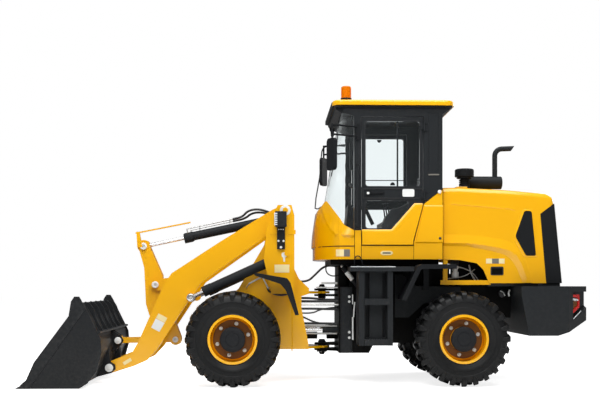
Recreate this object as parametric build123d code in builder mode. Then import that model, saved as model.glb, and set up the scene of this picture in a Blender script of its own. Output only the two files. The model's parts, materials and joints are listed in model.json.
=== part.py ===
from build123d import *

import os
from math import hypot

# Articulated wheel loader with a Z-bar bucket linkage, in millimetres.
# The bucket points along -X, the driver's left side is -Y, +Z is up and the ground is z = 0.
# A place in a side view is written (x, z), a place in a plan view (x, y).

os.makedirs("parts", exist_ok=True)

# ---------------------------------------------------------------- driving dimensions
SIDES = (-1, 1)                        # -1 is the driver's left, +1 the right
TIP_X = -3159                          # cutting edge of the bucket
REAR_X = 3159                          # back of the counterweight
HINGE_X = 182                          # vertical articulation axis
HINGE_TO_FRONT_AXLE = 1020
WHEELBASE = 2525
FRONT_AXLE_X = HINGE_X - HINGE_TO_FRONT_AXLE
REAR_AXLE_X = FRONT_AXLE_X + WHEELBASE

PIN_PLAY = 0.3                         # radial play of a pin in its eye
SIDE_PLAY = 6                          # between an eye and the cheeks beside it
SEAT_GAP = 0.3                         # between two pieces that rest on each other
PANEL_GAP = 6                          # round a door in its opening

# Wheels
TYRE_RADIUS = 525
TYRE_WIDTH = 400
LUG_COUNT = 24
LUG_WIDTH = 68
LUG_DEPTH = 40
TREAD_HALF = 118                       # half width of the level part of the tread
SHOULDER_DROP = 40                     # how much smaller the tyre is at its side
WALL_RADIUS = 432                      # where the side wall starts to fall in
WALL_FACETS = 30
DISH_FOOT = 8                          # how far inside the rim flange the side wall ends
TRACK = 1560
AXLE_Z = TYRE_RADIUS
BEAD_RADIUS = 254
BEAD_WIDTH = 330
RIM_WALL = 11
FLANGE_RADIUS = 270
FLANGE_WALL = 12
DISC_OFFSET = 70                       # from the wheel's middle plane outwards
DISC_WALL = 16
HUB_RADIUS = 138
HUB_DOME = 74                          # how far the hub stands out of the disc
HUB_DEPTH = 62                         # how far it reaches in from the disc
SPINDLE_RADIUS = 60
SPINDLE_DEPTH = 70
AXLE_TUBE_RADIUS = 92
AXLE_GAP = 8

# Boom and Z-bar linkage, places in the side view
BOOM_PIVOT = (-259, 1961)
BUCKET_PIVOT = (-2247, 183)
LINK_PIVOT = (-2204, 471)
CRANK_FOOT = (-1537, 481)
CRANK_PIVOT = (-1769, 1122)
CRANK_HEAD = (-1909, 1572)
TILT_BASE = (-304, 1912)
LIFT_BASE = (-240, 1472)
LIFT_EYE = (-1326, 977)
CROSS_TUBE = (-1500, 1105)
CROSS_TUBE_RADIUS = 78
BOOM_Y = 376                           # middle of a boom plate
BOOM_PLATE = 32
BOOM_EYE_RADIUS = 70
BOOM_TIP_RADIUS = 65
LINK_PIN_RADIUS = 27
MAIN_PIN_RADIUS = 30

# Hydraulic cylinders
LIFT_Y = 458
LIFT_BARREL_RADIUS = 56
LIFT_ROD_RADIUS = 25
LIFT_EYE_RADIUS = 46
LIFT_EYE_WIDTH = 80
LIFT_GLAND_GAP = 95                    # from the gland to the eye when the cylinder is closed
LIFT_PISTON_GAP = 27                   # from the bore's foot to the piston at rest
TILT_BARREL_RADIUS = 52
TILT_ROD_RADIUS = 22
TILT_EYE_RADIUS = 50
TILT_GLAND_GAP = 437
TILT_PISTON_GAP = 356
STEER_Z = 600
STEER_BASE = (602, 230)
STEER_EYE = (-58, 240)
STEER_BARREL_RADIUS = 34
STEER_ROD_RADIUS = 16
STEER_EYE_RADIUS = 36
STEER_GLAND_GAP = 199
STEER_PISTON_GAP = 192
STEER_EYE_HALF = 42                    # half height of the eyes on the steering cylinders
STEER_PIN_RADIUS = 20
BARREL_WALL = 9
ROD_PLAY = 0.4
GLAND_RING = 4                         # how far the gland stands out of the barrel
EYE_PROUD = 2                          # how far a barrel's eye stands out on each side
BORE_FOOT = 45                         # from the eye's rim to the foot of the bore

# Bucket
BUCKET_WIDTH = 2080
BUCKET_SIDE = 25
BUCKET_WALL = 16
EDGE_DEPTH = 250
EDGE_THICKNESS = 25
BUCKET_LIFT = 9                        # underside above the ground

# Front frame
FRAME_Y = 337                          # middle of a main plate
FRAME_PLATE = 25
TOWER_Y = 533                          # middle of an outer tower plate
TOWER_PLATE = 25
TOWER_BACK_X = -157
HINGE_PLATE = 26
UPPER_HINGE_Z = 1032
LOWER_HINGE_Z = 395
HINGE_PIN_RADIUS = 35
HINGE_BOSS_RADIUS = 90
HINGE_LUG_GAP = 8

# Rear frame and counterweight
REAR_PLATE_Y = 392
REAR_PLATE = 25
REAR_FRONT_X = 356
FRAME_TOP_Z = 1104
FRAME_ARCH_Z = 743
WEIGHT_FRONT_X = 2332
WEIGHT_HALF_WIDTH = 900
WEIGHT_BACK_HALF = 560                 # half width of its back between the chamfers
WEIGHT_TOP_Z = 1104
WEIGHT_LOW_Z = 559
WEIGHT_CREASE_X = 2859
HITCH_RADIUS = 22
HITCH_SLOT_Z = 870
HITCH_FOOT_Z = 800

# Cab
CAB_HALF_WIDTH = 680
CAB_WALL = 36
CAB_FLOOR_Z = 1406
CAB_BACK_X = 1497
CAB_TOP_Z = 3122
POST_FRONT_X = 508
DOOR_FRONT_X = 587
DOOR_REAR_X = 1282
DOOR_SILL_Z = 1560
DOOR_TOP_Z = 2995
GLASS = 8
ROOF_FRONT_X = 262
ROOF_BACK_X = 1637
ROOF_HALF_WIDTH = 730
ROOF_HEIGHT = 58

# Engine cover
HOOD_FRONT_X = 1520
HOOD_HALF_WIDTH = 600
HOOD_LOW_Z = 1139
HOOD_TOP_Z = 2222
HOOD_WALL = 14
HOOD_EDGE_RADIUS = 66
PRECLEANER = (1822, -280)              # plan place (x, y)
EXHAUST_STUB = (2100, -60)
MUFFLER_Z = 2327
MUFFLER_RADIUS = 76
PIPE_RADIUS = 30
EXHAUST_STUB_RADIUS = 38


# ---------------------------------------------------------------- helpers
def side_plate(outline, y_mid, thickness, radius=0, mode=Mode.ADD):
    """A plate standing along X, drawn in (x, z) and centred on y_mid."""
    with BuildSketch(Plane.XZ.offset(-y_mid)) as face:
        with BuildLine():
            if radius == 0:
                Polyline(*outline, close=True)
            else:
                FilletPolyline(*outline, radius=radius, close=True)
        make_face()
    extrude(face.sketch, amount=thickness / 2, both=True, mode=mode)


def plan_plate(outline, z_low, height, radius=0, mode=Mode.ADD):
    """A level plate, drawn in (x, y), from z_low upwards."""
    with BuildSketch(Plane.XY.offset(z_low)) as face:
        with BuildLine():
            if radius == 0:
                Polyline(*outline, close=True)
            else:
                FilletPolyline(*outline, radius=radius, close=True)
        make_face()
    extrude(face.sketch, amount=height, mode=mode)


def block(x_span, y_span, z_span, mode=Mode.ADD):
    """A rectangular block between two values on each axis."""
    with Locations((sum(x_span) / 2, sum(y_span) / 2, sum(z_span) / 2)):
        Box(abs(x_span[1] - x_span[0]), abs(y_span[1] - y_span[0]), abs(z_span[1] - z_span[0]), mode=mode)


def cross_pin(place, radius, y_low, y_high, mode=Mode.ADD):
    """A round bar along Y at a place (x, z)."""
    with Locations(Location((place[0], (y_low + y_high) / 2, place[1]), (90, 0, 0))):
        Cylinder(radius, abs(y_high - y_low), mode=mode)


def rod(start, end, radius, mode=Mode.ADD):
    """A round bar between two points in space."""
    axis = Vector(end) - Vector(start)
    with Locations(Plane(origin=start, z_dir=axis)):
        Cylinder(radius, axis.length, align=(Align.CENTER, Align.CENTER, Align.MIN), mode=mode)


def upright(x, y, radius, z_low, z_high, mode=Mode.ADD):
    """A round bar along Z."""
    with Locations((x, y, (z_low + z_high) / 2)):
        Cylinder(radius, z_high - z_low, mode=mode)


def along(start, end, distance):
    """The point at a distance from start towards end."""
    share = distance / hypot(*(b - a for a, b in zip(start, end)))
    return tuple(a + share * (b - a) for a, b in zip(start, end))


def in_side(place, y):
    """A side-view place (x, z) put at a given y in space."""
    return (place[0], y, place[1])


def shell_band(outer, thickness):
    """The outline of a bent plate: its outside line and the same line moved inwards."""
    inner = []
    for index, point in enumerate(outer):
        before = outer[max(index - 1, 0)]
        after = outer[min(index + 1, len(outer) - 1)]
        run = (after[0] - before[0], after[1] - before[1])
        length = hypot(*run)
        inner.append((point[0] - run[1] / length * thickness, point[1] + run[0] / length * thickness))
    return list(outer) + inner[::-1]


def save(builder, name):
    """Label a finished piece and write its STEP file."""
    builder.part.label = name
    export_step(builder.part, f"parts/{name}.step")


# ---------------------------------------------------------------- wheels
TYRE_BEAD = BEAD_RADIUS + SEAT_GAP
WHEELS = {
    "front_left": (FRONT_AXLE_X, -1),
    "front_right": (FRONT_AXLE_X, 1),
    "rear_left": (REAR_AXLE_X, -1),
    "rear_right": (REAR_AXLE_X, 1),
}


def wheel_plane(axle_x, wheel_y, out, distance):
    """A plane across the wheel's axis, at a distance from its middle on one side."""
    return Plane(origin=(axle_x, wheel_y + out * distance, AXLE_Z), x_dir=(0, 0, 1), z_dir=(0, out, 0))


def lug_ring(plane, share, turn):
    """A section through the tyre's tread: flats between lugs, all shrunk by a share."""
    root = (TYRE_RADIUS - LUG_DEPTH) * share
    with BuildSketch(plane) as ring:
        RegularPolygon(root, LUG_COUNT, rotation=turn)
        with PolarLocations(root - LUG_DEPTH * share, LUG_COUNT, start_angle=turn):
            Rectangle(4 * LUG_DEPTH * share, LUG_WIDTH * share)
    return ring.sketch


def flat_ring(plane, radius):
    """A many-sided section that is no smaller than a radius."""
    with BuildSketch(plane) as ring:
        RegularPolygon(radius, WALL_FACETS, major_radius=False)
    return ring.sketch


def plane_faced(solid):
    """The same many-sided solid with each of its faces made anew as a plane one."""
    return Solid(Shell([Face(face.outer_wire(), face.inner_wires()) for face in solid.faces()]))


for wheel, (axle_x, side) in WHEELS.items():
    wheel_y = side * TRACK / 2
    # The sketch plane holds the wheel's axis: its first axis points outwards, its second upwards.
    section_plane = Plane(origin=(axle_x, wheel_y, AXLE_Z), x_dir=(0, side, 0), z_dir=(side, 0, 0))
    spin_axis = Axis((axle_x, wheel_y, AXLE_Z), (0, 1, 0))
    with BuildPart() as carcass:
        for out in SIDES:
            # The lugs of one half stand between those of the other.
            turn = 90 / LUG_COUNT * (1 + out)
            middle = lug_ring(wheel_plane(axle_x, wheel_y, out, 0), 1, turn)
            tread_end = lug_ring(wheel_plane(axle_x, wheel_y, out, TREAD_HALF), 1, turn)
            side_plane = wheel_plane(axle_x, wheel_y, out, TYRE_WIDTH / 2)
            tyre_end = lug_ring(side_plane, 1 - SHOULDER_DROP / TYRE_RADIUS, turn)
            extrude(middle, amount=TREAD_HALF)
            loft([tread_end, tyre_end], ruled=True)
        for out in SIDES:
            wall_start = flat_ring(wheel_plane(axle_x, wheel_y, out, TYRE_WIDTH / 2), WALL_RADIUS)
            wall_foot = flat_ring(wheel_plane(axle_x, wheel_y, out, BEAD_WIDTH / 2 - DISH_FOOT), TYRE_BEAD)
            loft([wall_foot, wall_start], ruled=True, mode=Mode.SUBTRACT)
        extrude(flat_ring(wheel_plane(axle_x, wheel_y, 1, 0), TYRE_BEAD), amount=TYRE_WIDTH, both=True,
                mode=Mode.SUBTRACT)
    with BuildPart() as tyre:
        add(plane_faced(carcass.part))
    save(tyre, f"tyre_{wheel}")

    disc_out = DISC_OFFSET + DISC_WALL
    with BuildPart() as rim:
        with BuildSketch(section_plane):
            with BuildLine():
                Polyline(
                    (BEAD_WIDTH / 2 + SEAT_GAP + FLANGE_WALL, BEAD_RADIUS - RIM_WALL),
                    (BEAD_WIDTH / 2 + SEAT_GAP + FLANGE_WALL, FLANGE_RADIUS),
                    (BEAD_WIDTH / 2 + SEAT_GAP, FLANGE_RADIUS),
                    (BEAD_WIDTH / 2 + SEAT_GAP, BEAD_RADIUS),
                    (-BEAD_WIDTH / 2 - SEAT_GAP, BEAD_RADIUS),
                    (-BEAD_WIDTH / 2 - SEAT_GAP, FLANGE_RADIUS),
                    (-BEAD_WIDTH / 2 - SEAT_GAP - FLANGE_WALL, FLANGE_RADIUS),
                    (-BEAD_WIDTH / 2 - SEAT_GAP - FLANGE_WALL, BEAD_RADIUS - RIM_WALL),
                    (DISC_OFFSET - 40, BEAD_RADIUS - RIM_WALL),
                    (DISC_OFFSET, BEAD_RADIUS - RIM_WALL - 36),
                    (DISC_OFFSET, HUB_RADIUS),
                    (DISC_OFFSET - HUB_DEPTH, HUB_RADIUS),
                    (DISC_OFFSET - HUB_DEPTH, SPINDLE_RADIUS + PIN_PLAY),
                    (DISC_OFFSET - HUB_DEPTH + SPINDLE_DEPTH + SEAT_GAP, SPINDLE_RADIUS + PIN_PLAY),
                    (DISC_OFFSET - HUB_DEPTH + SPINDLE_DEPTH + SEAT_GAP, 0),
                    (disc_out + HUB_DOME, 0),
                    (disc_out + HUB_DOME, HUB_RADIUS - 40),
                    (disc_out + HUB_DOME - 14, HUB_RADIUS - 16),
                    (disc_out, HUB_RADIUS),
                    (disc_out, BEAD_RADIUS - RIM_WALL - 30),
                    (disc_out - 34, BEAD_RADIUS - RIM_WALL),
                    close=True,
                )
            make_face()
        revolve(axis=spin_axis)
    save(rim, f"rim_{wheel}")

# ---------------------------------------------------------------- axles
HUB_INNER_Y = TRACK / 2 + DISC_OFFSET - HUB_DEPTH
SPINDLE_END_Y = HUB_INNER_Y + SPINDLE_DEPTH
TUBE_END_Y = HUB_INNER_Y - AXLE_GAP
DIFF_RADIUS = 170
DIFF_LENGTH = 250
PAD_TOP_Z = AXLE_Z + AXLE_TUBE_RADIUS + 40
PAD_LENGTH = 220
PAD_WIDTH = 90
SHAFT_RADIUS = 42
JOINT_GAP = 55                         # between a shaft's end and the articulation axis
PIVOT_RADIUS = 78                      # trunnions that the rear axle rocks on
PIVOT_REACH = 260


def axle_beam(axle_x):
    """Housing, differential, flanges and spindles of one drive axle."""
    cross_pin((axle_x, AXLE_Z), AXLE_TUBE_RADIUS, -TUBE_END_Y, TUBE_END_Y)
    cross_pin((axle_x, AXLE_Z), SPINDLE_RADIUS, -SPINDLE_END_Y, SPINDLE_END_Y)
    for side in SIDES:
        cross_pin((axle_x, AXLE_Z), AXLE_TUBE_RADIUS + 32, side * (TUBE_END_Y - 40), side * TUBE_END_Y)
    rod((axle_x - DIFF_LENGTH / 2, 0, AXLE_Z), (axle_x + DIFF_LENGTH / 2, 0, AXLE_Z), DIFF_RADIUS)


with BuildPart() as front_axle:
    axle_beam(FRONT_AXLE_X)
    rod((FRONT_AXLE_X, 0, AXLE_Z), (HINGE_X - JOINT_GAP, 0, AXLE_Z), SHAFT_RADIUS)
    for side in SIDES:
        block(
            (FRONT_AXLE_X - PAD_LENGTH / 2, FRONT_AXLE_X + PAD_LENGTH / 2),
            (side * (FRAME_Y - PAD_WIDTH / 2), side * (FRAME_Y + PAD_WIDTH / 2)),
            (AXLE_Z, PAD_TOP_Z),
        )
save(front_axle, "front_axle")

with BuildPart() as rear_axle:
    axle_beam(REAR_AXLE_X)
    rod((REAR_AXLE_X - PIVOT_REACH, 0, AXLE_Z), (REAR_AXLE_X + PIVOT_REACH, 0, AXLE_Z), PIVOT_RADIUS)
save(rear_axle, "rear_axle")

# ---------------------------------------------------------------- front frame
FRAME_BOTTOM_Z = LOWER_HINGE_Z - HINGE_PLATE / 2
HINGE_LUG_ROOM = HINGE_PLATE / 2 + HINGE_LUG_GAP
# Main plates, bottom corner round to the slanted front, (x, z).
MAIN_PLATE = (
    (FRONT_AXLE_X + PAD_LENGTH / 2 + 60, FRAME_BOTTOM_Z),
    (10, FRAME_BOTTOM_Z),
    (10, FRAME_BOTTOM_Z + 60),
    (-70, 850),
    (-70, UPPER_HINGE_Z - HINGE_PLATE / 2 - 30),
    (16, UPPER_HINGE_Z - HINGE_PLATE / 2),
    (16, UPPER_HINGE_Z + 48),
    (-100, 1190),
    (TOWER_BACK_X, 1310),
    (TOWER_BACK_X, 1900),
    (-189, 2020),
    (-345, 2020),
    (-470, 1760),
    (-498, 1577),
    (-790, 1079),
    (FRONT_AXLE_X - PAD_LENGTH / 2 - 40, 900),
    (FRONT_AXLE_X - PAD_LENGTH / 2 - 40, PAD_TOP_Z),
    (FRONT_AXLE_X + PAD_LENGTH / 2 + 60, PAD_TOP_Z),
)
# Outer tower plates, down to the shelf at the upper hinge plate, (x, z).
TOWER_OUTLINE = (
    (-420, UPPER_HINGE_Z + HINGE_PLATE / 2),
    (TOWER_BACK_X, UPPER_HINGE_Z + HINGE_PLATE / 2),
    (TOWER_BACK_X, 1900),
    (-189, 2020),
    (-345, 2020),
    (-470, 1760),
    (-500, 1400),
)
TOWER_WEB = 14

with BuildPart() as front_frame:
    for side in SIDES:
        side_plate(MAIN_PLATE, side * FRAME_Y, FRAME_PLATE)
        side_plate(TOWER_OUTLINE, side * TOWER_Y, TOWER_PLATE)
        # Back web and shelf that tie the outer plate to the main plate.
        block((TOWER_BACK_X - TOWER_WEB, TOWER_BACK_X), (side * FRAME_Y, side * TOWER_Y), (1060, 1880))
        block((-420, TOWER_BACK_X), (side * FRAME_Y, side * (TOWER_Y + TOWER_PLATE / 2)),
              (UPPER_HINGE_Z - HINGE_PLATE / 2, UPPER_HINGE_Z + HINGE_PLATE / 2))
        # Boom pin and lift cylinder pin, both held by the two plates.
        cross_pin(BOOM_PIVOT, MAIN_PIN_RADIUS, side * (FRAME_Y - 20),
                  side * (TOWER_Y + TOWER_PLATE / 2 + 14))
        cross_pin(LIFT_BASE, MAIN_PIN_RADIUS, side * (FRAME_Y - 20),
                  side * (TOWER_Y + TOWER_PLATE / 2 + 14))
    # Cross members between the main plates.
    block((-330, -300), (-FRAME_Y, FRAME_Y), (FRAME_BOTTOM_Z, 1000))
    block((-700, -120), (-FRAME_Y, FRAME_Y), (1000, 1030))
    block((-1000, -970), (-FRAME_Y, FRAME_Y), (PAD_TOP_Z, 900))
    block((TOWER_BACK_X - 30, TOWER_BACK_X), (-FRAME_Y, FRAME_Y), (1240, 1840))
    # Shaft opening through the cross plate.
    rod((-340, 0, AXLE_Z), (-290, 0, AXLE_Z), SHAFT_RADIUS + 40, mode=Mode.SUBTRACT)
    # Hinge plates, with a round end over the articulation axis.
    for plate_z in (UPPER_HINGE_Z, LOWER_HINGE_Z):
        low = plate_z - HINGE_PLATE / 2
        plan_plate(((-320, -FRAME_Y), (-60, -FRAME_Y), (HINGE_X, -HINGE_BOSS_RADIUS),
                    (HINGE_X, HINGE_BOSS_RADIUS), (-60, FRAME_Y), (-320, FRAME_Y)), low, HINGE_PLATE)
        upright(HINGE_X, 0, HINGE_BOSS_RADIUS, low, low + HINGE_PLATE)
        upright(HINGE_X, 0, HINGE_PIN_RADIUS + PIN_PLAY, low - 1, low + HINGE_PLATE + 1, mode=Mode.SUBTRACT)
    # Steering cylinder lugs with their pins.
    for side in SIDES:
        block((STEER_EYE[0] - 200, STEER_EYE[0] + 36), (side * (STEER_EYE[1] - 40), side * FRAME_Y),
              (STEER_Z - STEER_EYE_HALF - 26, STEER_Z - STEER_EYE_HALF - SEAT_GAP))
    # Tilt cylinder bracket on a cross tube between the towers.
    cross_pin((TILT_BASE[0] + 80, TILT_BASE[1] - 130), 45, -FRAME_Y, FRAME_Y)
    for side in SIDES:
        side_plate(((TILT_BASE[0] - 46, TILT_BASE[1] + 46), (TILT_BASE[0] + 40, TILT_BASE[1] + 46),
                    (TILT_BASE[0] + 125, TILT_BASE[1] - 130), (TILT_BASE[0] + 35, TILT_BASE[1] - 160)),
                   side * (TILT_BARREL_RADIUS + EYE_PROUD + SIDE_PLAY + 10), 20)
    cross_pin(TILT_BASE, LINK_PIN_RADIUS, -TILT_BARREL_RADIUS - 40, TILT_BARREL_RADIUS + 40)
    # Collar round the outside of each tower.
    for side in SIDES:
        tower_face = TOWER_Y + TOWER_PLATE / 2
        block((-434, TOWER_BACK_X + 14), (side * (tower_face - 2), side * (tower_face + 9)), (1690, 1738))
save(front_frame, "front_frame")

# Front fenders: a bent strip over each wheel, on a bracket from the tower.
FENDER_INNER_Y = 592
FENDER_OUTER_Y = 985
FENDER_WALL = 22
FENDER_LIP = 16                        # thickness of the skirt along the outer edge
FRONT_FENDER = ((-118, 795), (-208, 1140), (-245, 1190), (-601, 1252))
FRONT_SKIRT_INNER = ((-596, 1220), (-318, 1128), (-262, 1062), (-158, 790))
REAR_FENDER = ((1600, 1344), (1215, 1344), (1170, 1316), (1002, 963))
REAR_SKIRT_INNER = ((1046, 945), (1208, 1284), (1232, 1294), (1600, 1294))


def fender(outline, skirt_inner, side):
    """A bent strip between the inner and outer edge of the tyre, with a skirt along its outer edge."""
    side_plate(shell_band(outline, FENDER_WALL), side * (FENDER_INNER_Y + FENDER_OUTER_Y) / 2,
               FENDER_OUTER_Y - FENDER_INNER_Y)
    side_plate(outline + skirt_inner, side * (FENDER_OUTER_Y - FENDER_LIP / 2), FENDER_LIP)


with BuildPart() as front_fenders:
    for side in SIDES:
        fender(FRONT_FENDER, FRONT_SKIRT_INNER, side)
        rod((-330, side * (TOWER_Y + TOWER_PLATE / 2), 1186), (-330, side * (FENDER_OUTER_Y - 60), 1186),
            16)
save(front_fenders, "front_fenders")

# Headlamps on brackets outside the towers.
LAMP_X = -308
LAMP_Z = 1862
with BuildPart() as headlamps:
    for side in SIDES:
        face_y = TOWER_Y + TOWER_PLATE / 2 + 14
        block((LAMP_X - 45, LAMP_X + 45), (side * face_y, side * (face_y + 12)), (1520, 1790))
        block((LAMP_X - 45, LAMP_X + 45), (side * (TOWER_Y + TOWER_PLATE / 2), side * face_y), (1540, 1600))
        block((LAMP_X - 66, LAMP_X + 62), (side * face_y, side * (face_y + 96)), (LAMP_Z - 92, LAMP_Z + 80))
save(headlamps, "headlamps")

# ---------------------------------------------------------------- boom
# Upper edge from the pivot to the elbow and down to the bucket pin, then back, (x, z).
BOOM_OUTLINE = (
    (BOOM_PIVOT[0] - 20, BOOM_PIVOT[1] + BOOM_EYE_RADIUS),
    (-400, 1981),
    (-993, 1617),
    (-1554, 1251),
    (-1640, 1120),
    (-1932, 465),
    (-2000, 350),
    (BUCKET_PIVOT[0] - 15, BUCKET_PIVOT[1] + BOOM_TIP_RADIUS - 2),
    (BUCKET_PIVOT[0] + 15, BUCKET_PIVOT[1] - BOOM_TIP_RADIUS + 1),
    (-1977, 198),
    (-1830, 263),
    (-1718, 383),
    (-1395, 880),
    (-1214, 1147),
    (-430, 1707),
    (BOOM_PIVOT[0] + 30, BOOM_PIVOT[1] - BOOM_EYE_RADIUS + 10),
)
BRACKET_Y = 98
BRACKET_PLATE = 22
EYE_PLATE = 40

with BuildPart() as boom:
    for side in SIDES:
        side_plate(BOOM_OUTLINE, side * BOOM_Y, BOOM_PLATE)
        cross_pin(BOOM_PIVOT, BOOM_EYE_RADIUS, side * (BOOM_Y - 20), side * (BOOM_Y + 30))
        cross_pin(BUCKET_PIVOT, BOOM_TIP_RADIUS, side * (BOOM_Y - EYE_PLATE / 2),
                  side * (BOOM_Y + EYE_PLATE / 2))
        cross_pin(LIFT_EYE, 52, side * BOOM_Y, side * (LIFT_Y - LIFT_EYE_WIDTH / 2 - SEAT_GAP))
    cross_pin(CROSS_TUBE, CROSS_TUBE_RADIUS, -BOOM_Y, BOOM_Y)
    for side in SIDES:
        side_plate(((CRANK_PIVOT[0] - 62, CRANK_PIVOT[1] + 20), (CRANK_PIVOT[0] - 10, CRANK_PIVOT[1] + 64),
                    (CROSS_TUBE[0], CROSS_TUBE[1] + CROSS_TUBE_RADIUS + 30),
                    (CROSS_TUBE[0] + 40, CROSS_TUBE[1] - CROSS_TUBE_RADIUS),
                    (CRANK_PIVOT[0] + 10, CRANK_PIVOT[1] - 64), (CRANK_PIVOT[0] - 55, CRANK_PIVOT[1] - 36)),
                   side * BRACKET_Y, BRACKET_PLATE)
    cross_pin(CRANK_PIVOT, MAIN_PIN_RADIUS, -BRACKET_Y - 24, BRACKET_Y + 24)
    for side in SIDES:
        cross_pin(BOOM_PIVOT, MAIN_PIN_RADIUS + PIN_PLAY, side * 300, side * 440, mode=Mode.SUBTRACT)
        cross_pin(BUCKET_PIVOT, MAIN_PIN_RADIUS + PIN_PLAY, side * 300, side * 440, mode=Mode.SUBTRACT)
save(boom, "boom")

# ---------------------------------------------------------------- bellcrank and tilt link
CRANK_Y = 57                           # middle of a bellcrank plate
CRANK_PLATE = 30
LINK_WIDTH = 2 * (CRANK_Y - CRANK_PLATE / 2 - SIDE_PLAY)
CRANK_OUTLINE = (
    (CRANK_HEAD[0] - 70, CRANK_HEAD[1] + 20),
    (CRANK_HEAD[0] - 30, CRANK_HEAD[1] + 70),
    (CRANK_HEAD[0] + 40, CRANK_HEAD[1] + 66),
    (CRANK_PIVOT[0] + 78, CRANK_PIVOT[1] + 110),
    (CRANK_PIVOT[0] + 80, CRANK_PIVOT[1] - 40),
    (CRANK_FOOT[0] + 62, CRANK_FOOT[1] + 30),
    (CRANK_FOOT[0] + 50, CRANK_FOOT[1] - 50),
    (CRANK_FOOT[0] - 20, CRANK_FOOT[1] - 64),
    (CRANK_FOOT[0] - 66, CRANK_FOOT[1] - 10),
    (CRANK_PIVOT[0] - 75, CRANK_PIVOT[1] - 357),
    (CRANK_PIVOT[0] - 114, CRANK_PIVOT[1] - 227),
    (CRANK_PIVOT[0] - 126, CRANK_PIVOT[1] + 30),
    (CRANK_PIVOT[0] - 135, CRANK_PIVOT[1] + 200),
)
LEVEL_Y = -(CRANK_Y + CRANK_PLATE / 2 + 16)

with BuildPart() as bellcrank:
    for side in SIDES:
        side_plate(CRANK_OUTLINE, side * CRANK_Y, CRANK_PLATE)
        cross_pin(CRANK_HEAD, 74, side * (CRANK_Y - CRANK_PLATE / 2), side * (CRANK_Y + CRANK_PLATE / 2))
        cross_pin(CRANK_FOOT, 66, side * (CRANK_Y - CRANK_PLATE / 2), side * (CRANK_Y + CRANK_PLATE / 2))
        cross_pin(CRANK_HEAD, LINK_PIN_RADIUS, side * (CRANK_Y - CRANK_PLATE / 2),
                  side * (CRANK_Y + CRANK_PLATE / 2 + 12))
        cross_pin(CRANK_FOOT, LINK_PIN_RADIUS, side * (CRANK_Y - CRANK_PLATE / 2),
                  side * (CRANK_Y + CRANK_PLATE / 2 + 12))
    cross_pin(CRANK_PIVOT, 62, -CRANK_Y - 22, CRANK_Y + 22)
    cross_pin(CRANK_PIVOT, MAIN_PIN_RADIUS + PIN_PLAY, -120, 120, mode=Mode.SUBTRACT)
    # Level indicator: a post and a long pointer beside the tilt cylinder.
    side_plate(((-1980, 1560), (-1920, 1560), (-1955, 1740), (-1990, 1740)), LEVEL_Y, 32)
    side_plate(((-2000, 1715), (-1362, 1842), (-1362, 1858), (-2000, 1731)), LEVEL_Y, 32)
save(bellcrank, "bellcrank")

with BuildPart() as tilt_link:
    side_plate(((LINK_PIVOT[0], LINK_PIVOT[1] - 34), (CRANK_FOOT[0], CRANK_FOOT[1] - 34),
                (CRANK_FOOT[0], CRANK_FOOT[1] + 34), (LINK_PIVOT[0], LINK_PIVOT[1] + 34)), 0, LINK_WIDTH)
    cross_pin(LINK_PIVOT, 58, -LINK_WIDTH / 2, LINK_WIDTH / 2)
    cross_pin(CRANK_FOOT, 56, -LINK_WIDTH / 2, LINK_WIDTH / 2)
    for eye in (LINK_PIVOT, CRANK_FOOT):
        cross_pin(eye, LINK_PIN_RADIUS + PIN_PLAY, -LINK_WIDTH, LINK_WIDTH, mode=Mode.SUBTRACT)
save(tilt_link, "tilt_link")

# ---------------------------------------------------------------- bucket
BUCKET_UNDER_Z = BUCKET_LIFT
# Outside of the curved back and floor, from the cutting edge round to the top lip, (x, z).
SHELL_OUTLINE = (
    (TIP_X + EDGE_DEPTH - 60, BUCKET_UNDER_Z),
    (-2530, BUCKET_UNDER_Z),
    (-2400, 70),
    (-2345, 180),
    (-2262, 400),
    (-2275, 560),
    (-2360, 760),
    (-2460, 930),
)
SIDE_OUTLINE = (
    (TIP_X + 60, BUCKET_UNDER_Z),
    (-2472, BUCKET_UNDER_Z),
    (-2389, 60),
    (-2290, 190),
    (-2232, 400),
    (-2245, 540),
    (-2410, 876),
    (-2451, 954),
    (-2475, 994),
    (-2525, 994),
    (-2560, 940),
    (-2585, 785),
    (-2829, 458),
    (-2954, 290),
    (-3037, 102),
    (TIP_X + 60, 50),
)
BUCKET_LAP = 7
RIB_COUNT = 6
RIB_STEP = 320
RIB_WALL = 16
RIB_FOOT_Z = 612
EAR_PLATE = 24
EAR_Y = BOOM_Y
EAR_OFFSET = EYE_PLATE / 2 + SIDE_PLAY + EAR_PLATE / 2
LINK_EAR_Y = LINK_WIDTH / 2 + SIDE_PLAY + EAR_PLATE / 2


def wavy_rib(y):
    """A stiffener that swells below the bucket's lip and draws in again above the ledge."""
    with BuildSketch(Plane.XZ.offset(-y)) as face:
        with BuildLine():
            ThreePointArc((-2452, 938), (-2384, 896), (-2346, 812))
            ThreePointArc((-2346, 812), (-2318, 722), (-2262, RIB_FOOT_Z + 30))
            Polyline((-2262, RIB_FOOT_Z + 30), (-2262, RIB_FOOT_Z), (-2305, RIB_FOOT_Z), (-2368, 756),
                     (-2463, 925), (-2452, 938))
        make_face()
    extrude(face.sketch, amount=RIB_WALL / 2, both=True)


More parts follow.
